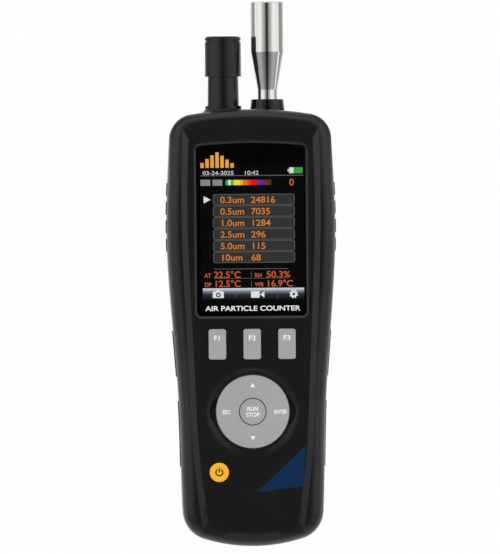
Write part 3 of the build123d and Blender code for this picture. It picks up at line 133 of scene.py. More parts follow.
heel = add(tree, "ShaderNodeMapRange", {"Value": aim.outputs["Y"], "From Min": HEEL_FROM, "From Max": HEEL_TO,
                                        "To Min": 0.0, "To Max": HEEL_LIGHT})
band = add(tree, "ShaderNodeMath", {0: flag.outputs["Color"], 1: foot.outputs[0]}, operation="MULTIPLY")
band = add(tree, "ShaderNodeMath", {0: band.outputs[0], 1: head.outputs[0]}, operation="MAXIMUM")
band = add(tree, "ShaderNodeMath", {0: band.outputs[0], 1: heel.outputs[0]}, operation="MAXIMUM")
hue = add(tree, "ShaderNodeMixRGB", {"Fac": ray.outputs["Is Glossy Ray"], "Color2": band.outputs[0],
                                     "Color1": (TENT_LIGHT, TENT_LIGHT, TENT_LIGHT, 1)})
glow = add(tree, "ShaderNodeBackground", {"Color": hue.outputs[0], "Strength": 1.0})
add(tree, "ShaderNodeOutputWorld", {"Surface": glow.outputs[0]})

# Studio lamps: two soft square lamps, one at each side, aimed at the
# instrument. They light it but don't show in what shines.
LAMP_SIZE = 0.8
LAMP_POWER = 1.6
LAMP_ASIDE = 0.9
LAMP_HEIGHT = 0.9
for hand in (-1, 1):
    lamp_data = bpy.data.lights.new("side_lamp", "AREA")
    lamp_data.size = LAMP_SIZE
    lamp_data.energy = LAMP_POWER
    lamp = bpy.data.objects.new("side_lamp", lamp_data)
    lamp.visible_glossy = False
    bpy.context.scene.collection.objects.link(lamp)
    lamp.location = (hand * LAMP_ASIDE, 0, LAMP_HEIGHT)
    lamp.rotation_euler = lamp.location.to_track_quat("Z", "Y").to_euler()

# Studio table: a wide sheet of plain pale paper. It is near white to the eye
# and keeps a faint shadow, and polished steel sees it dimmer beside the probe.
TABLE_SIZE = 20
TABLE_COLOUR = "#F4F4F4"
TABLE_PLAIN = 0.97
TABLE_FAR = 0.3
FAR_Y_FROM, FAR_Y_TO = 0.05, 0.065
FAR_X_FROM, FAR_X_TO = 0.015, 0.06
bm = bmesh.new()
bmesh.ops.create_grid(bm, x_segments=1, y_segments=1, size=TABLE_SIZE / 2)
table_mesh = bpy.data.meshes.new("table")
bm.to_mesh(table_mesh)
bm.free()
table = bpy.data.objects.new("table", table_mesh)
bpy.context.scene.collection.objects.link(table)
paper = bpy.data.materials.new("matt_paper")
paper.use_nodes = True
tree = paper.node_tree
tree.nodes.clear()
ray = add(tree, "ShaderNodeLightPath")
spot = add(tree, "ShaderNodeSeparateXYZ", {"Vector": add(tree, "ShaderNodeTexCoord").outputs["Object"]})
beyond = add(tree, "ShaderNodeMapRange", {"Value": spot.outputs["Y"], "From Min": FAR_Y_FROM,
                                          "From Max": FAR_Y_TO})
aside = add(tree, "ShaderNodeMath", {0: spot.outputs["X"]}, operation="ABSOLUTE")
aside = add(tree, "ShaderNodeMapRange", {"Value": aside.outputs[0], "From Min": FAR_X_FROM,
                                         "From Max": FAR_X_TO})
dim = add(tree, "ShaderNodeMath", {0: beyond.outputs[0], 1: aside.outputs[0]}, operation="MULTIPLY")
dim = add(tree, "ShaderNodeMath", {0: dim.outputs[0], 1: ray.outputs["Is Glossy Ray"]}, operation="MULTIPLY")
light = add(tree, "ShaderNodeMapRange", {"Value": dim.outputs[0], "To Min": 1.0, "To Max": TABLE_FAR})
seen = add(tree, "ShaderNodeMath", {0: ray.outputs["Is Camera Ray"], 1: ray.outputs["Is Glossy Ray"]},
           operation="MAXIMUM")
seen = add(tree, "ShaderNodeMath", {0: seen.outputs[0], 1: ray.outputs["Is Transmission Ray"]},
           operation="MAXIMUM")
share = add(tree, "ShaderNodeMath", {0: seen.outputs[0], 1: TABLE_PLAIN}, operation="MULTIPLY")
matt = add(tree, "ShaderNodeBsdfDiffuse", {"Color": linear(TABLE_COLOUR)})
plain = add(tree, "ShaderNodeEmission", {"Color": (1, 1, 1, 1), "Strength": light.outputs[0]})
both = add(tree, "ShaderNodeMixShader", {0: share.outputs[0], 1: matt.outputs[0], 2: plain.outputs[0]})
add(tree, "ShaderNodeOutputMaterial", {"Surface": both.outputs[0]})
table_mesh.materials.append(paper)


# Front cover, rear cover and battery door: injection-moulded black ABS, the
# covers closed on each other at half height. The mould's spark-eroded faces
# leave a fine satin grain that breaks the reflections up, matter at the back.
def moulded(name, colour, roughness, grain, depth, patchy=0.12, **extra):
    """Moulded plastic or rubber with a fine grain, its size and depth in mm."""
    finish = bpy.data.materials.new(name)
    finish.use_nodes = True
    tree = finish.node_tree
    tree.nodes.clear()
    place = add(tree, "ShaderNodeTexCoord").outputs["Object"]
    grit = add(tree, "ShaderNodeTexNoise", {"Vector": place, "Scale": 1 / (grain * MM), "Detail": 2.0})
    cloud = add(tree, "ShaderNodeTexNoise", {"Vector": place, "Scale": 1 / (PATCH * MM), "Detail": 3.0})
    base = linear(colour)
    if patchy:
        pale = [min(1, c * (1 + patchy) + PALE_LIFT * patchy) for c in base[:3]] + [1]
        dark = [c * (1 - patchy) for c in base[:3]] + [1]
        hue = add(tree, "ShaderNodeMixRGB", {"Fac": cloud.outputs["Fac"], "Color1": dark, "Color2": pale})
        base = hue.outputs[0]
    shine = add(tree, "ShaderNodeMapRange", {"Value": cloud.outputs["Fac"],
                                             "To Min": roughness * (1 - SHINE_VARIES),
                                             "To Max": roughness * (1 + SHINE_VARIES)})
    relief = add(tree, "ShaderNodeBump", {"Height": grit.outputs["Fac"], "Strength": 1.0,
                                          "Distance": depth * MM})
    shell = add(tree, "ShaderNodeBsdfPrincipled",
                {"Base Color": base, "Roughness": shine.outputs["Result"],
                 "Normal": relief.outputs[0], **extra})
    add(tree, "ShaderNodeOutputMaterial", {"Surface": shell.outputs[0]})
    return finish


def put(bm, name, body, slot, *finishes):
    """Make a finished mesh a piece of the scene that rides on a body."""
    mesh = bpy.data.meshes.new(name)
    bm.to_mesh(mesh)
    bm.free()
    for finish in finishes:
        mesh.materials.append(finish)
    piece = bpy.data.objects.new(name, mesh)
    bpy.context.scene.collection.objects.link(piece)
    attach(piece, body)
    return piece


def merged(node):
    """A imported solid's mesh with its triangles joined into whole faces."""
    bm = bmesh.new()
    bm.from_mesh(frame["nodes"][node].data)
    bmesh.ops.remove_doubles(bm, verts=bm.verts, dist=WELD)
    bmesh.ops.dissolve_limit(bm, angle_limit=FLAT, verts=bm.verts, edges=bm.edges)
    return bm


def skin(node, slot, finish):
    """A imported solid's merged copy: whole flat faces, and smooth shading on the round ones."""
    bm = merged(node)
    bmesh.ops.recalc_face_normals(bm, faces=bm.faces)
    for face in bm.faces:
        face.smooth = True
        face.material_index = 0
    for edge in bm.edges:
        edge.smooth = len(edge.link_faces) == 2 and edge.calc_face_angle() < CREASE
    piece = put(bm, node + "_skin", frame["nodes"][node]["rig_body"], slot, finish)
    even = piece.modifiers.new("even", "WEIGHTED_NORMAL")
    even.keep_sharp = True
    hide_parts(node)
    return piece


PATCH = 18
PALE_LIFT = 0.004
SHINE_VARIES = 0.12
WELD = 1e-6
FLAT = radians(0.3)
CREASE = radians(28)
# The real grain is near 0.1 mm across. It is drawn coarser so that it shows.
abs_satin = moulded("satin_black_abs", "#141415", roughness=0.27, grain=0.35, depth=0.006)
abs_matt = moulded("matt_black_abs", "#151516", roughness=0.42, grain=0.40, depth=0.010)
skin("front_cover", "abs_black", abs_satin)
skin("rear_cover", "abs_dark", abs_matt)
skin("battery_door", "abs_dark", abs_matt)


# Grips and port flap: soft black TPE, the grips overmoulded on the sides in
# bars. Its dull coarse grain drinks the light and stops the hand slipping.
def dress(finish, *nodes):
    """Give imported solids, which keep their shape, their finish."""
    for node in nodes:
        mesh = frame["nodes"][node].data
        mesh.materials.clear()
        mesh.materials.append(finish)


tpe = moulded("dull_black_tpe", "#1C1C1D", roughness=0.55, grain=0.30, depth=0.015)
skin("left_grip_pads", "rubber_grip", tpe)
skin("right_grip_pads", "rubber_grip", tpe)
dress(tpe, "port_flap")

# Window lens: polished acrylic, taped into the front cover. It is printed
# black on its back outside the display, so it shows as deep gloss black
# there and is clear over the display.
APERTURE = [v * MM for v in (-22.3, 23.3, -13.5, 48.0)]
FLAT_SHARE = 0.5
ACRYLIC_IOR = 1.49
mask = moulded("back_printed_acrylic", "#020203", roughness=0.05, grain=0.5, depth=0.0)
pane = moulded("clear_acrylic", "#FFFFFF", roughness=0.02, grain=0.5, depth=0.0, patchy=0.0,
               **{"Transmission Weight": 1.0, "IOR": ACRYLIC_IOR})
bm = merged("window_lens")
for axis, places in enumerate((APERTURE[:2], APERTURE[2:])):
    for place in places:
        on_cut, along_cut = Vector(), Vector()
        on_cut[axis] = place
        along_cut[axis] = 1
        bmesh.ops.bisect_plane(bm, geom=bm.verts[:] + bm.edges[:] + bm.faces[:],
                               plane_co=on_cut, plane_no=along_cut)
for face in bm.faces:
    middle = face.calc_center_median()
    inside = APERTURE[0] < middle.x < APERTURE[1] and APERTURE[2] < middle.y < APERTURE[3]
    face.material_index = int(inside and abs(face.normal.z) > FLAT_SHARE)
lens = put(bm, "window_lens_skin", "case", "clear_window", mask, pane)
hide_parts("window_lens")


# Display glass: a 2.8 inch TFT, black where nothing is shown. What it shows
# is lit from behind through a fine grid of pixels, so it glows a little by
# itself and has no shine of its own under the lens.
def shown(name, colour):
    """A lit part of the display, with the faint grid of its pixels."""
    finish = bpy.data.materials.new(name)
    finish.use_nodes = True
    tree = finish.node_tree
    tree.nodes.clear()
    place = add(tree, "ShaderNodeTexCoord").outputs["Object"]
    grid = add(tree, "ShaderNodeTexBrick",
               {"Vector": place, "Color1": linear(colour), "Color2": linear(colour),
                "Mortar": [c * PIXEL_GAP for c in linear(colour)[:3]] + [1],
                "Scale": 1 / (PIXEL * MM), "Mortar Size": PIXEL_EDGE, "Brick Width": 1.0, "Row Height": 1.0},
               offset=0.0)
    glass = add(tree, "ShaderNodeBsdfPrincipled",
                {"Base Color": linear(GLASS_BLACK), "Roughness": 0.25, "Specular IOR Level": 0.0,
                 "Emission Color": grid.outputs["Color"], "Emission Strength": 1.0})
    add(tree, "ShaderNodeOutputMaterial", {"Surface": glass.outputs[0]})
    return finish


PIXEL = 0.18
PIXEL_GAP = 0.82
PIXEL_EDGE = 0.06
GLASS_BLACK = "#030304"
dress(shown("unlit_display_glass", "#050506"), "lcd_module")


# Count rows: six grey fields on the display, one for each particle size,
# with rounded corners and a paler border one or two pixels wide.
def plates(bm, boxes, z, thick, corner=0.0, rim=0.0):
    """Thin plates, their corners rounded and their rim a finish of its own: (x, y, width, height) in mm."""
    for x, y, width, height in boxes:
        others = set(bm.faces)
        grid = bmesh.ops.create_grid(bm, x_segments=1, y_segments=1, size=0.5)["verts"]
        bmesh.ops.scale(bm, vec=(width * MM, height * MM, 1), verts=grid)
        bmesh.ops.translate(bm, vec=Vector((x, y, z)) * MM, verts=grid)
        if corner:
            bmesh.ops.bevel(bm, geom=grid, offset=corner * MM, offset_type="OFFSET", affect="VERTICES",
                            segments=4, profile=0.5, material=-1, clamp_overlap=True)
        field = [face for face in bm.faces if face not in others]
        if rim:
            border = bmesh.ops.inset_region(bm, faces=field, thickness=rim * MM, use_boundary=True,
                                            use_even_offset=True)["faces"]
            for strip in border:
                strip.material_index = 1
            field += border
        raise_faces(bm, field, thick)
    bmesh.ops.recalc_face_normals(bm, faces=bm.faces)


def raise_faces(bm, faces, thick):
    """Give flat faces a thickness in mm, upwards."""
    grown = bmesh.ops.extrude_face_region(bm, geom=faces, use_keep_orig=True)["geom"]
    tops = [part for part in grown if isinstance(part, bmesh.types.BMVert)]
    bmesh.ops.translate(bm, vec=(0, 0, thick * MM), verts=tops)


GLASS_TOP = 52.6
ROW_X, ROW_Y = 1.2, 32.6
ROW_PITCH = 5.08
ROW_WIDTH, ROW_HEIGHT = 36.0, 4.9
ROW_THICK, ROW_CORNER, ROW_RIM = 0.1, 1.1, 0.3
row_ys = [ROW_Y - ROW_PITCH * i for i in range(6)]
bm = bmesh.new()
plates(bm, [(ROW_X, y, ROW_WIDTH, ROW_HEIGHT) for y in row_ys], GLASS_TOP, ROW_THICK, ROW_CORNER, ROW_RIM)
rows = put(bm, "row_fields", "case", "row_grey", shown("shown_grey_field", "#343434"),
           shown("shown_grey_rim", "#5C5C5C"))
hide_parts("screen_rows")


# Air quality gauge and key bar: the gauge's colour steps from green to brown
# from left to right, and the bar above the F keys fades from pale to black.
def shaded(name, axis, low, high, stops):
    """A lit field whose colour runs along an axis, between two places in mm."""
    finish = shown(name, "#FFFFFF")
    tree = finish.node_tree
    place = add(tree, "ShaderNodeSeparateXYZ", {"Vector": add(tree, "ShaderNodeTexCoord").outputs["Object"]})
    share = add(tree, "ShaderNodeMapRange", {"Value": place.outputs[axis], "From Min": low * MM,
                                             "From Max": high * MM})
    run = add(tree, "ShaderNodeValToRGB", {"Fac": share.outputs[0]})
    set_stops(run.color_ramp, [(at, linear(colour)) for at, colour in stops])
    glass = next(n for n in tree.nodes if n.type == "BSDF_PRINCIPLED")
    tree.links.new(run.outputs["Color"], glass.inputs["Emission Color"])
    return finish


GAUGE_LEFT, GAUGE_RIGHT = -11.2, 9.1
GAUGE_HUES = ((0.0, "#18B83A"), (0.15, "#1CC03C"), (0.20, "#F0E820"), (0.34, "#E8DC20"), (0.39, "#E07A18"),
              (0.50, "#E06418"), (0.55, "#F01010"), (0.66, "#F01010"), (0.71, "#6A2A9A"), (0.83, "#5C2E8C"),
              (0.88, "#6A3E20"), (0.995, "#4A3020"))
BAR_LOW, BAR_HIGH = -11.45, -6.35
BAR_HUES = ((0.0, "#08090B"), (0.45, "#2A2F3A"), (0.7, "#6F7786"), (0.85, "#B9BFCC"), (0.99, "#D6DAE2"))
dress(shaded("shown_gauge", "X", GAUGE_LEFT, GAUGE_RIGHT, GAUGE_HUES), "screen_gauge")
dress(shaded("shown_key_bar", "Y", BAR_LOW, BAR_HIGH, BAR_HUES), "screen_key_bar")

# Signs: the row pointer, the tabs and the battery cell lit on the display,
# and above them the amber bar chart, screen-printed on the lens in dull ink.
CHART_ABOVE = 54
TABS_ABOVE = 36
POINTER_FACES, TAB_FACES, CELL_FACES = 1, 2, 3
amber_ink = moulded("amber_screen_ink", "#E9A21C", roughness=0.45, grain=0.1, depth=0.002)
white = shown("shown_white", "#E8E8E8")
tab_grey = shown("shown_tab_grey", "#8C8C8C")
cell_green = shown("shown_cell_green", "#3DA648")
bm = bmesh.new()
bm.from_mesh(frame["nodes"]["screen_signs"].data)
bmesh.ops.remove_doubles(bm, verts=bm.verts, dist=WELD)
for face in bm.faces:
    middle = face.calc_center_median() / MM
    face.material_index = POINTER_FACES
    if middle.z > CHART_ABOVE:
        face.material_index = 0
    elif middle.x > 0:
        face.material_index = CELL_FACES
    elif middle.y > TABS_ABOVE:
        face.material_index = TAB_FACES
signs = put(bm, "sign_fields", "case", "sign_grey", amber_ink, white, tab_grey, cell_green)
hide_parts("screen_signs")

# Rules: thin grey lines lit on the display, one under the clock and four
# between the air's temperature, humidity, dew point and wet bulb readings.
LINE_THICK = 0.05
CLOCK_RULE = (0.4, 43.15, 45.4, 0.28)
CLIMATE_RULES = ((-0.2, 2.1, 32.4, 0.2), (-0.2, -2.05, 32.4, 0.15), (-0.1, -0.2, 0.2, 2.6),
                 (-0.1, -4.4, 0.2, 2.6))
bm = bmesh.new()
plates(bm, (CLOCK_RULE, *CLIMATE_RULES), GLASS_TOP, LINE_THICK)
put(bm, "screen_rules", "case", "sign_grey", shown("shown_rule_grey", "#6E6E6E"))

# White marks: the gauge's pointer, the battery sign's body and nib, and the
# camera's and the film camera's bodies on the key bar, all lit white.
MARK_Z = 52.72
ICON_CORNER = 0.3
SQUARE_MARKS = ((-9.4, 40.1, 1.1, 2.3), (17.9, 45.3, 1.8, 2.5), (16.5, 45.3, 0.5, 1.1))
ROUND_MARKS = ((-14.7, -9.2, 4.9, 2.9), (-14.7, -7.5, 2.0, 0.7), (1.6, -9.2, 3.8, 2.9))
bm = bmesh.new()
plates(bm, SQUARE_MARKS, MARK_Z, LINE_THICK)
plates(bm, ROUND_MARKS, MARK_Z, LINE_THICK, ICON_CORNER)
put(bm, "screen_marks", "case", "sign_grey", white)

# Separators: two short upright lines that part the key bar in three, lit in
# a blue grey a little paler than the bar's own foot.
SEPARATORS = ((-7.15, -9.1, 0.2, 3.6), (11.3, -9.1, 0.2, 3.6))
bm = bmesh.new()
plates(bm, SEPARATORS, MARK_Z, LINE_THICK)
put(bm, "bar_separators", "case", "sign_grey", shown("shown_bar_grey", "#5F6570"))

# Camera sign's lens: a dark ring in the middle of the white camera body.
RING_PLACE = Vector((-14.7, -9.3, 52.775)) * MM
RING_OUTER, RING_INNER = 1.05, 0.5
RING_THICK = 0.03
bm = bmesh.new()
for radius in (RING_OUTER, RING_INNER):
    loop = bmesh.ops.create_circle(bm, segments=28, radius=radius * MM)["verts"]
    bmesh.ops.translate(bm, vec=RING_PLACE, verts=loop)
bmesh.ops.bridge_loops(bm, edges=bm.edges)
bmesh.ops.solidify(bm, geom=bm.faces[:], thickness=-RING_THICK * MM)
bmesh.ops.recalc_face_normals(bm, faces=bm.faces)
put(bm, "camera_icon_ring", "case", "sign_grey", shown("shown_icon_dark", "#3A3E46"))

# Settings wheel and film camera's horn: the wheel is a white ring with eight
# teeth, made by drawing every second pair of its corners in.
WHEEL_PLACE = Vector((18.5, -9.1, MARK_Z)) * MM
WHEEL_TIP, WHEEL_HUB = 1.95, 0.6
WHEEL_ROOT_SHARE = 0.76
CORNERS_PER_TOOTH = 4
HORN = ((3.7, -9.2), (5.6, -7.8), (5.6, -10.6))
bm = bmesh.new()
wheel = bmesh.ops.create_circle(bm, segments=32, radius=WHEEL_TIP * MM)["verts"]
for i, corner in enumerate(wheel):
    if i % CORNERS_PER_TOOTH < CORNERS_PER_TOOTH / 2:
        corner.co *= WHEEL_ROOT_SHARE
bmesh.ops.create_circle(bm, segments=32, radius=WHEEL_HUB * MM)
bmesh.ops.translate(bm, vec=WHEEL_PLACE, verts=bm.verts)
bmesh.ops.bridge_loops(bm, edges=bm.edges)
bm.faces.new([bm.verts.new(Vector((x, y, MARK_Z)) * MM) for x, y in HORN])
raise_faces(bm, bm.faces[:], LINE_THICK)
bmesh.ops.recalc_face_normals(bm, faces=bm.faces)
put(bm, "gear_and_horn_icons", "case", "sign_grey", white)


# Words on the display: amber particle sizes and counts in the rows, rust
# readings below them, the white clock and the amber number of alarms.
def letters(name, lines, z, finish, body, slot, weight=0.0):
    """Words as thin raised faces: (text, x, y, height, stretch, side they hang from), in mm."""
    bm = bmesh.new()
    for text, x, y, height, stretch, side in lines:
        curve = bpy.data.curves.new(name, "FONT")
        curve.body = text
        curve.size = height / CAP_SHARE * MM
        curve.align_x = side
        curve.extrude = INK_THICK / 2 * MM
        curve.offset = weight * MM
        holder = bpy.data.objects.new(name, curve)
        shape = bpy.data.meshes.new_from_object(holder)
        shape.transform(Matrix.Translation(Vector((x, y - height / 2, z + INK_THICK / 2)) * MM)
                        @ Matrix.Diagonal((stretch, 1, 1, 1)))
        bm.from_mesh(shape)
        bpy.data.objects.remove(holder)
        bpy.data.curves.remove(curve)
        bpy.data.meshes.remove(shape)
    return put(bm, name, body, slot, finish)


CAP_SHARE = 0.73
INK_THICK = 0.02
GLASS_Z = 52.62
FIELD_Z = 52.71
SHOWN_WEIGHT = 0.05
SIZE_X, COUNT_X = -13.6, -0.1
ROW_LETTER, ROW_STRETCH = 2.9, 1.09
ROW_SIZES = ("0.3um", "0.5um", "1.0um", "2.5um", "5.0um", "10um")
ROW_COUNTS = ("24816", "7035", "1284", "296", "115", "68")
LABEL_LETTER, LABEL_STRETCH, LABEL_DROP = 1.9, 0.9, 0.4
CLIMATE = (("AT", -20.7, "22.5°C", -16.6, -0.3, 1.06), ("RH", 1.4, "50.3%", 6.4, -0.3, 1.12),
           ("DP", -20.7, "12.5°C", -16.6, -4.3, 1.06), ("WB", 1.4, "16.9°C", 6.4, -4.3, 1.06))
CLOCK = (("03-24-2025", -21.2, 44.4, 1.8, 1.2, "LEFT"), ("10:42", -3.1, 44.4, 1.8, 1.2, "LEFT"))
ALARMS = (("0", 17.9, 40.2, 3.0, 1.0, "CENTER"),)
amber = shown("shown_amber", "#D98030")
row_words = []
for y, size, count in zip(row_ys, ROW_SIZES, ROW_COUNTS):
    row_words.append((size, SIZE_X, y, ROW_LETTER, ROW_STRETCH, "LEFT"))
    row_words.append((count, COUNT_X, y, ROW_LETTER, ROW_STRETCH, "LEFT"))
letters("row_words", row_words, FIELD_Z, amber, "case", "sign_grey", SHOWN_WEIGHT)
climate_words = []
for label, label_x, value, value_x, y, stretch in CLIMATE:
    climate_words.append((label, label_x, y - LABEL_DROP, LABEL_LETTER, LABEL_STRETCH, "LEFT"))
    climate_words.append((value, value_x, y, ROW_LETTER, stretch, "LEFT"))
rust = shown("shown_rust", "#CC6230")
letters("climate_words", climate_words, GLASS_Z, rust, "case", "sign_grey", SHOWN_WEIGHT)
letters("clock_words", CLOCK, GLASS_Z, white, "case", "sign_grey")
letters("alarm_count", ALARMS, GLASS_Z, amber, "case", "sign_grey")

# Words on the lens: what the instrument is, screen-printed in matt white ink
# across the foot of the window.
LENS_WORDS = (("AIR PARTICLE COUNTER", 0.4, -15.2, 2.2, 1.24, "CENTER"),)
LENS_PRINT_Z = 54.9
LENS_WEIGHT = 0.05
print_white = moulded("white_screen_ink", "#F0F0F0", roughness=0.45, grain=0.1, depth=0.002)
letters("lens_words", LENS_WORDS, LENS_PRINT_Z, print_white, "case", "mark_white", LENS_WEIGHT)

# F keys: three caps of grey ABS with a soft satin face, each free to sink
# in its hole, with its number printed in white near the top.
F_KEY_XS = (-15.3, 0, 15.3)
F_WORD_Y, F_WORD_Z, F_LETTER, F_STRETCH = -28.2, 56.6, 2.2, 1.15
KEY_WEIGHT = 0.07
key_grey = moulded("satin_grey_abs", "#A2A3A5", roughness=0.38, grain=0.3, depth=0.006, patchy=0.05)
for i, x in enumerate(F_KEY_XS, start=1):
    skin(f"key_f{i}", "key_grey", key_grey)
    letters(f"f{i}_word", [(f"F{i}", x, F_WORD_Y, F_LETTER, F_STRETCH, "CENTER")], F_WORD_Z, print_white,
            f"f{i}_key", "mark_white", KEY_WEIGHT)

# Ring and run key: the same satin grey ABS. The ring tips on its cushion
# towards four sides, and the run key stands in its middle. Both are printed
# white, and the ring's two arrows are inlaid.
RING_WORDS = (("ESC", -11.5, -60.8, 1.8, 0.9, "CENTER"), ("ENTER", 12.2, -60.8, 1.8, 0.75, "CENTER"))
RING_WORD_Z, RING_WEIGHT = 56.9, 0.06
RUN_WORDS = (("RUN", 0, -59.4, 1.8, 1.0, "CENTER"), ("STOP", 0, -62.0, 1.8, 1.0, "CENTER"))
RUN_WORD_Z = 56.7
skin("nav_ring", "key_grey", key_grey)
skin("run_stop_key", "key_grey", key_grey)
letters("ring_words", RING_WORDS, RING_WORD_Z, print_white, "ring", "mark_white", RING_WEIGHT)
letters("run_words", RUN_WORDS, RUN_WORD_Z, print_white, "run_button", "mark_white", KEY_WEIGHT)
dress(print_white, "ring_arrows")

# Power key: a round cap of amber ABS, with the power sign, an open ring and
# a stroke through its gap, printed in brown ink.
POWER_SPOT = Vector((-14.9, -87.3, 56.605)) * MM
SIGN_INNER, SIGN_OUTER, SIGN_THICK = 1.2, 1.8, 0.03
SIGN_START, SIGN_SWEEP, SIGN_STEPS = radians(125), radians(290), 36
STROKE_LENGTH = 1.9
skin("power_key", "key_amber",
     moulded("satin_amber_abs", "#FDB813", roughness=0.38, grain=0.3, depth=0.006, patchy=0.05))
bm = bmesh.new()
section = ((SIGN_INNER, 0, 0), (SIGN_OUTER, 0, 0), (SIGN_OUTER, 0, SIGN_THICK), (SIGN_INNER, 0, SIGN_THICK))
corners = [bm.verts.new(Vector(corner) * MM) for corner in section]
end = bm.faces.new(corners)
bmesh.ops.rotate(bm, verts=corners, cent=(0, 0, 0), matrix=Matrix.Rotation(SIGN_START, 3, "Z"))
bmesh.ops.spin(bm, geom=corners + end.edges[:] + [end], cent=(0, 0, 0), axis=(0, 0, 1),
               angle=SIGN_SWEEP, steps=SIGN_STEPS)
stroke = bmesh.ops.create_cube(bm, size=1)["verts"]
bmesh.ops.scale(bm, vec=Vector((SIGN_OUTER - SIGN_INNER, STROKE_LENGTH, SIGN_THICK)) * MM, verts=stroke)
bmesh.ops.translate(bm, vec=Vector((0, STROKE_LENGTH / 2, SIGN_THICK / 2)) * MM, verts=stroke)
bmesh.ops.translate(bm, vec=POWER_SPOT, verts=bm.verts)
bmesh.ops.recalc_face_normals(bm, faces=bm.faces)
put(bm, "power_mark", "power_button", "mark_white",
    moulded("brown_key_ink", "#552600", roughness=0.45, grain=0.1, depth=0.002))

# Ring cushion and keypad mat: soft grey silicone, press-moulded. They carry
# the ring and the keys and spring them back, and look dull and even.
silicone = moulded("grey_silicone", "#626365", roughness=0.5, grain=0.4, depth=0.01)
dress(silicone, "ring_cushion", "keypad_mat")

# Circuit boards: glass epoxy under green solder mask, whose fairly glossy
# coat dips a little over the weave.
solder_mask = moulded("green_solder_mask", "#1C5A38", roughness=0.3, grain=0.6, depth=0.01)
dress(solder_mask, "key_board", "main_board", "sensor_board", "detector_board")

# Small black fittings: the display's spacer, connectors, buzzer, memory card,
# sensor cage and camera, moulded in nylon with a slightly dull skin.
black_nylon = moulded("black_nylon", "#1A1A1B", roughness=0.45, grain=0.3, depth=0.01)
dress(black_nylon, "display_spacer", "board_link", "buzzer", "dc_jack", "memory_card", "sensor_cage",
      "camera_module")

# Pump head, pump cover and exhaust filter: white nylon, moulded and left
# unpainted, so it looks milky and softly bright.
white_nylon = moulded("white_nylon", "#DCDCD8", roughness=0.4, grain=0.3, depth=0.01)
dress(white_nylon, "pump_head", "pump_cover", "exhaust_filter")

# Hoses: extruded milky silicone tube, pushed on the pump's and the optical
# block's spigots. It looks pale and a little waxy.
hose = moulded("milky_silicone_hose", "#C9C9C0", roughness=0.35, grain=0.5, depth=0.01)
dress(hose, "sampling_hose", "suction_hose", "exhaust_hose")

# Battery pack: lithium cells under blue shrink film, which is drawn tight in
# hot air and keeps a glossy, slightly wavy face.
wrap = moulded("blue_shrink_film", "#2A5FA0", roughness=0.25, grain=0.8, depth=0.02)
dress(wrap, "battery_pack")

# Optical block: milled aluminium, anodised black inside and out so that no
# stray light gets to the detector. It looks dark with a soft metal sheen.
anodised = moulded("black_anodised_aluminium", "#1D1D1F", roughness=0.35, grain=0.2, depth=0.008)
dress(anodised, "optical_block")

# Probe base and camera bezel: ABS from a polished mould, so they mirror the
# studio in a deep gloss black.
gloss_abs = moulded("gloss_black_abs", "#0C0C0D", roughness=0.08, grain=0.8, depth=0.001)
skin("probe_base", "glossy_black", gloss_abs)
dress(gloss_abs, "camera_bezel")

# Sensor stem and cap: the front cover's satin ABS. The cap is pushed over
# the stem and shields the air's temperature and humidity sensor.
skin("sensor_stem", "abs_black", abs_satin)
skin("sensor_cap", "abs_black", abs_satin)

# Probe's O-ring: moulded nitrile rubber that seals the probe in its base,
# black and dull.
nitrile = moulded("black_nitrile", "#0E0E0E", roughness=0.5, grain=0.3, depth=0.01)
dress(nitrile, "probe_o_ring")

# Corner decal: a three-cornered film, printed an even dark blue and stuck
# flush on the front. It has no gloss, so it reads as plain colour.
FILM_GLOSS = 0.15
film = moulded("blue_print_film", "#00284F", roughness=0.5, grain=0.4, depth=0.004, patchy=0.0,
               **{"Specular IOR Level": FILM_GLOSS})
dress(film, "corner_decal")


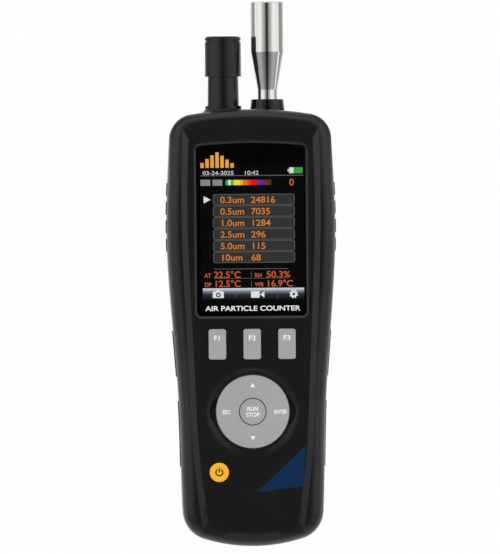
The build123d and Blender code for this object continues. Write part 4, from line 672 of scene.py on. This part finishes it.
# Sampling probe: a stainless steel tube, turned on a lathe and polished. It
# has bright and dark bands along it, and a crisp line at each change of cone.
def metal(name, colour, roughness, fine, depth):
    """Machined metal with fine turning marks round the Y axis, their size and depth in mm."""
    finish = bpy.data.materials.new(name)
    finish.use_nodes = True
    tree = finish.node_tree
    tree.nodes.clear()
    place = add(tree, "ShaderNodeTexCoord").outputs["Object"]
    along = add(tree, "ShaderNodeMapping", {"Vector": place, "Scale": (DRAWN_OUT, 1.0, DRAWN_OUT)})
    cut = add(tree, "ShaderNodeTexNoise", {"Vector": along.outputs[0], "Scale": 1 / (fine * MM), "Detail": 2.0})
    shine = add(tree, "ShaderNodeMapRange", {"Value": cut.outputs["Fac"],
                                             "To Min": roughness * (1 - CUT_VARIES),
                                             "To Max": roughness * (1 + CUT_VARIES)})
    relief = add(tree, "ShaderNodeBump", {"Height": cut.outputs["Fac"], "Strength": 1.0,
                                          "Distance": depth * MM})
    shell = add(tree, "ShaderNodeBsdfPrincipled",
                {"Base Color": linear(colour), "Metallic": 1.0, "Roughness": shine.outputs["Result"],
                 "Normal": relief.outputs[0]})
    add(tree, "ShaderNodeOutputMaterial", {"Surface": shell.outputs[0]})
    return finish


DRAWN_OUT = 0.02
CUT_VARIES = 0.3
CONE_STEP = 0.1
# Real turning marks are about 0.05 mm apart. They are drawn coarser so that they show.
steel = metal("polished_stainless_steel", "#F2F1EE", roughness=0.10, fine=0.15, depth=0.0006)
probe = skin("sampling_probe", "probe_steel", steel)
bm = bmesh.new()
bm.from_mesh(probe.data)
for edge in bm.edges:
    slopes = [face.normal.y for face in edge.link_faces]
    edge.smooth = max(slopes) - min(slopes) < CONE_STEP
bm.to_mesh(probe.data)
bm.free()

# Screws, jack shells, card socket and pump rotor: zinc-plated steel, pressed
# or turned, with a pale, slightly cloudy shine.
zinc = metal("zinc_plated_steel", "#B9BABD", roughness=0.3, fine=0.3, depth=0.002)
dress(zinc, "board_screws", "optical_block_screws", "case_screws", "door_screw", "usb_jack", "card_socket",
      "pump_rotor")

# Laser's sleeve, battery contacts and tripod bush: turned brass, warm yellow
# with fine marks from the tool.
brass = metal("turned_brass", "#C9A65A", roughness=0.25, fine=0.2, depth=0.002)
dress(brass, "laser_module", "battery_contacts", "tripod_bush")

# Pump motor's can: steel sheet, deep-drawn, a plain soft grey shine.
can = metal("drawn_steel_can", "#A5A6A8", roughness=0.3, fine=0.3, depth=0.002)
dress(can, "pump_motor")

# Camera window and flash lights: clear polycarbonate, moulded in a polished
# tool, pressed into the back.
POLYCARBONATE_IOR = 1.58
clear_cover = moulded("clear_polycarbonate", "#FFFFFF", roughness=0.05, grain=0.5, depth=0.0, patchy=0.0,
                      **{"Transmission Weight": 1.0, "IOR": POLYCARBONATE_IOR})
dress(clear_cover, "camera_window", "flash_lights")
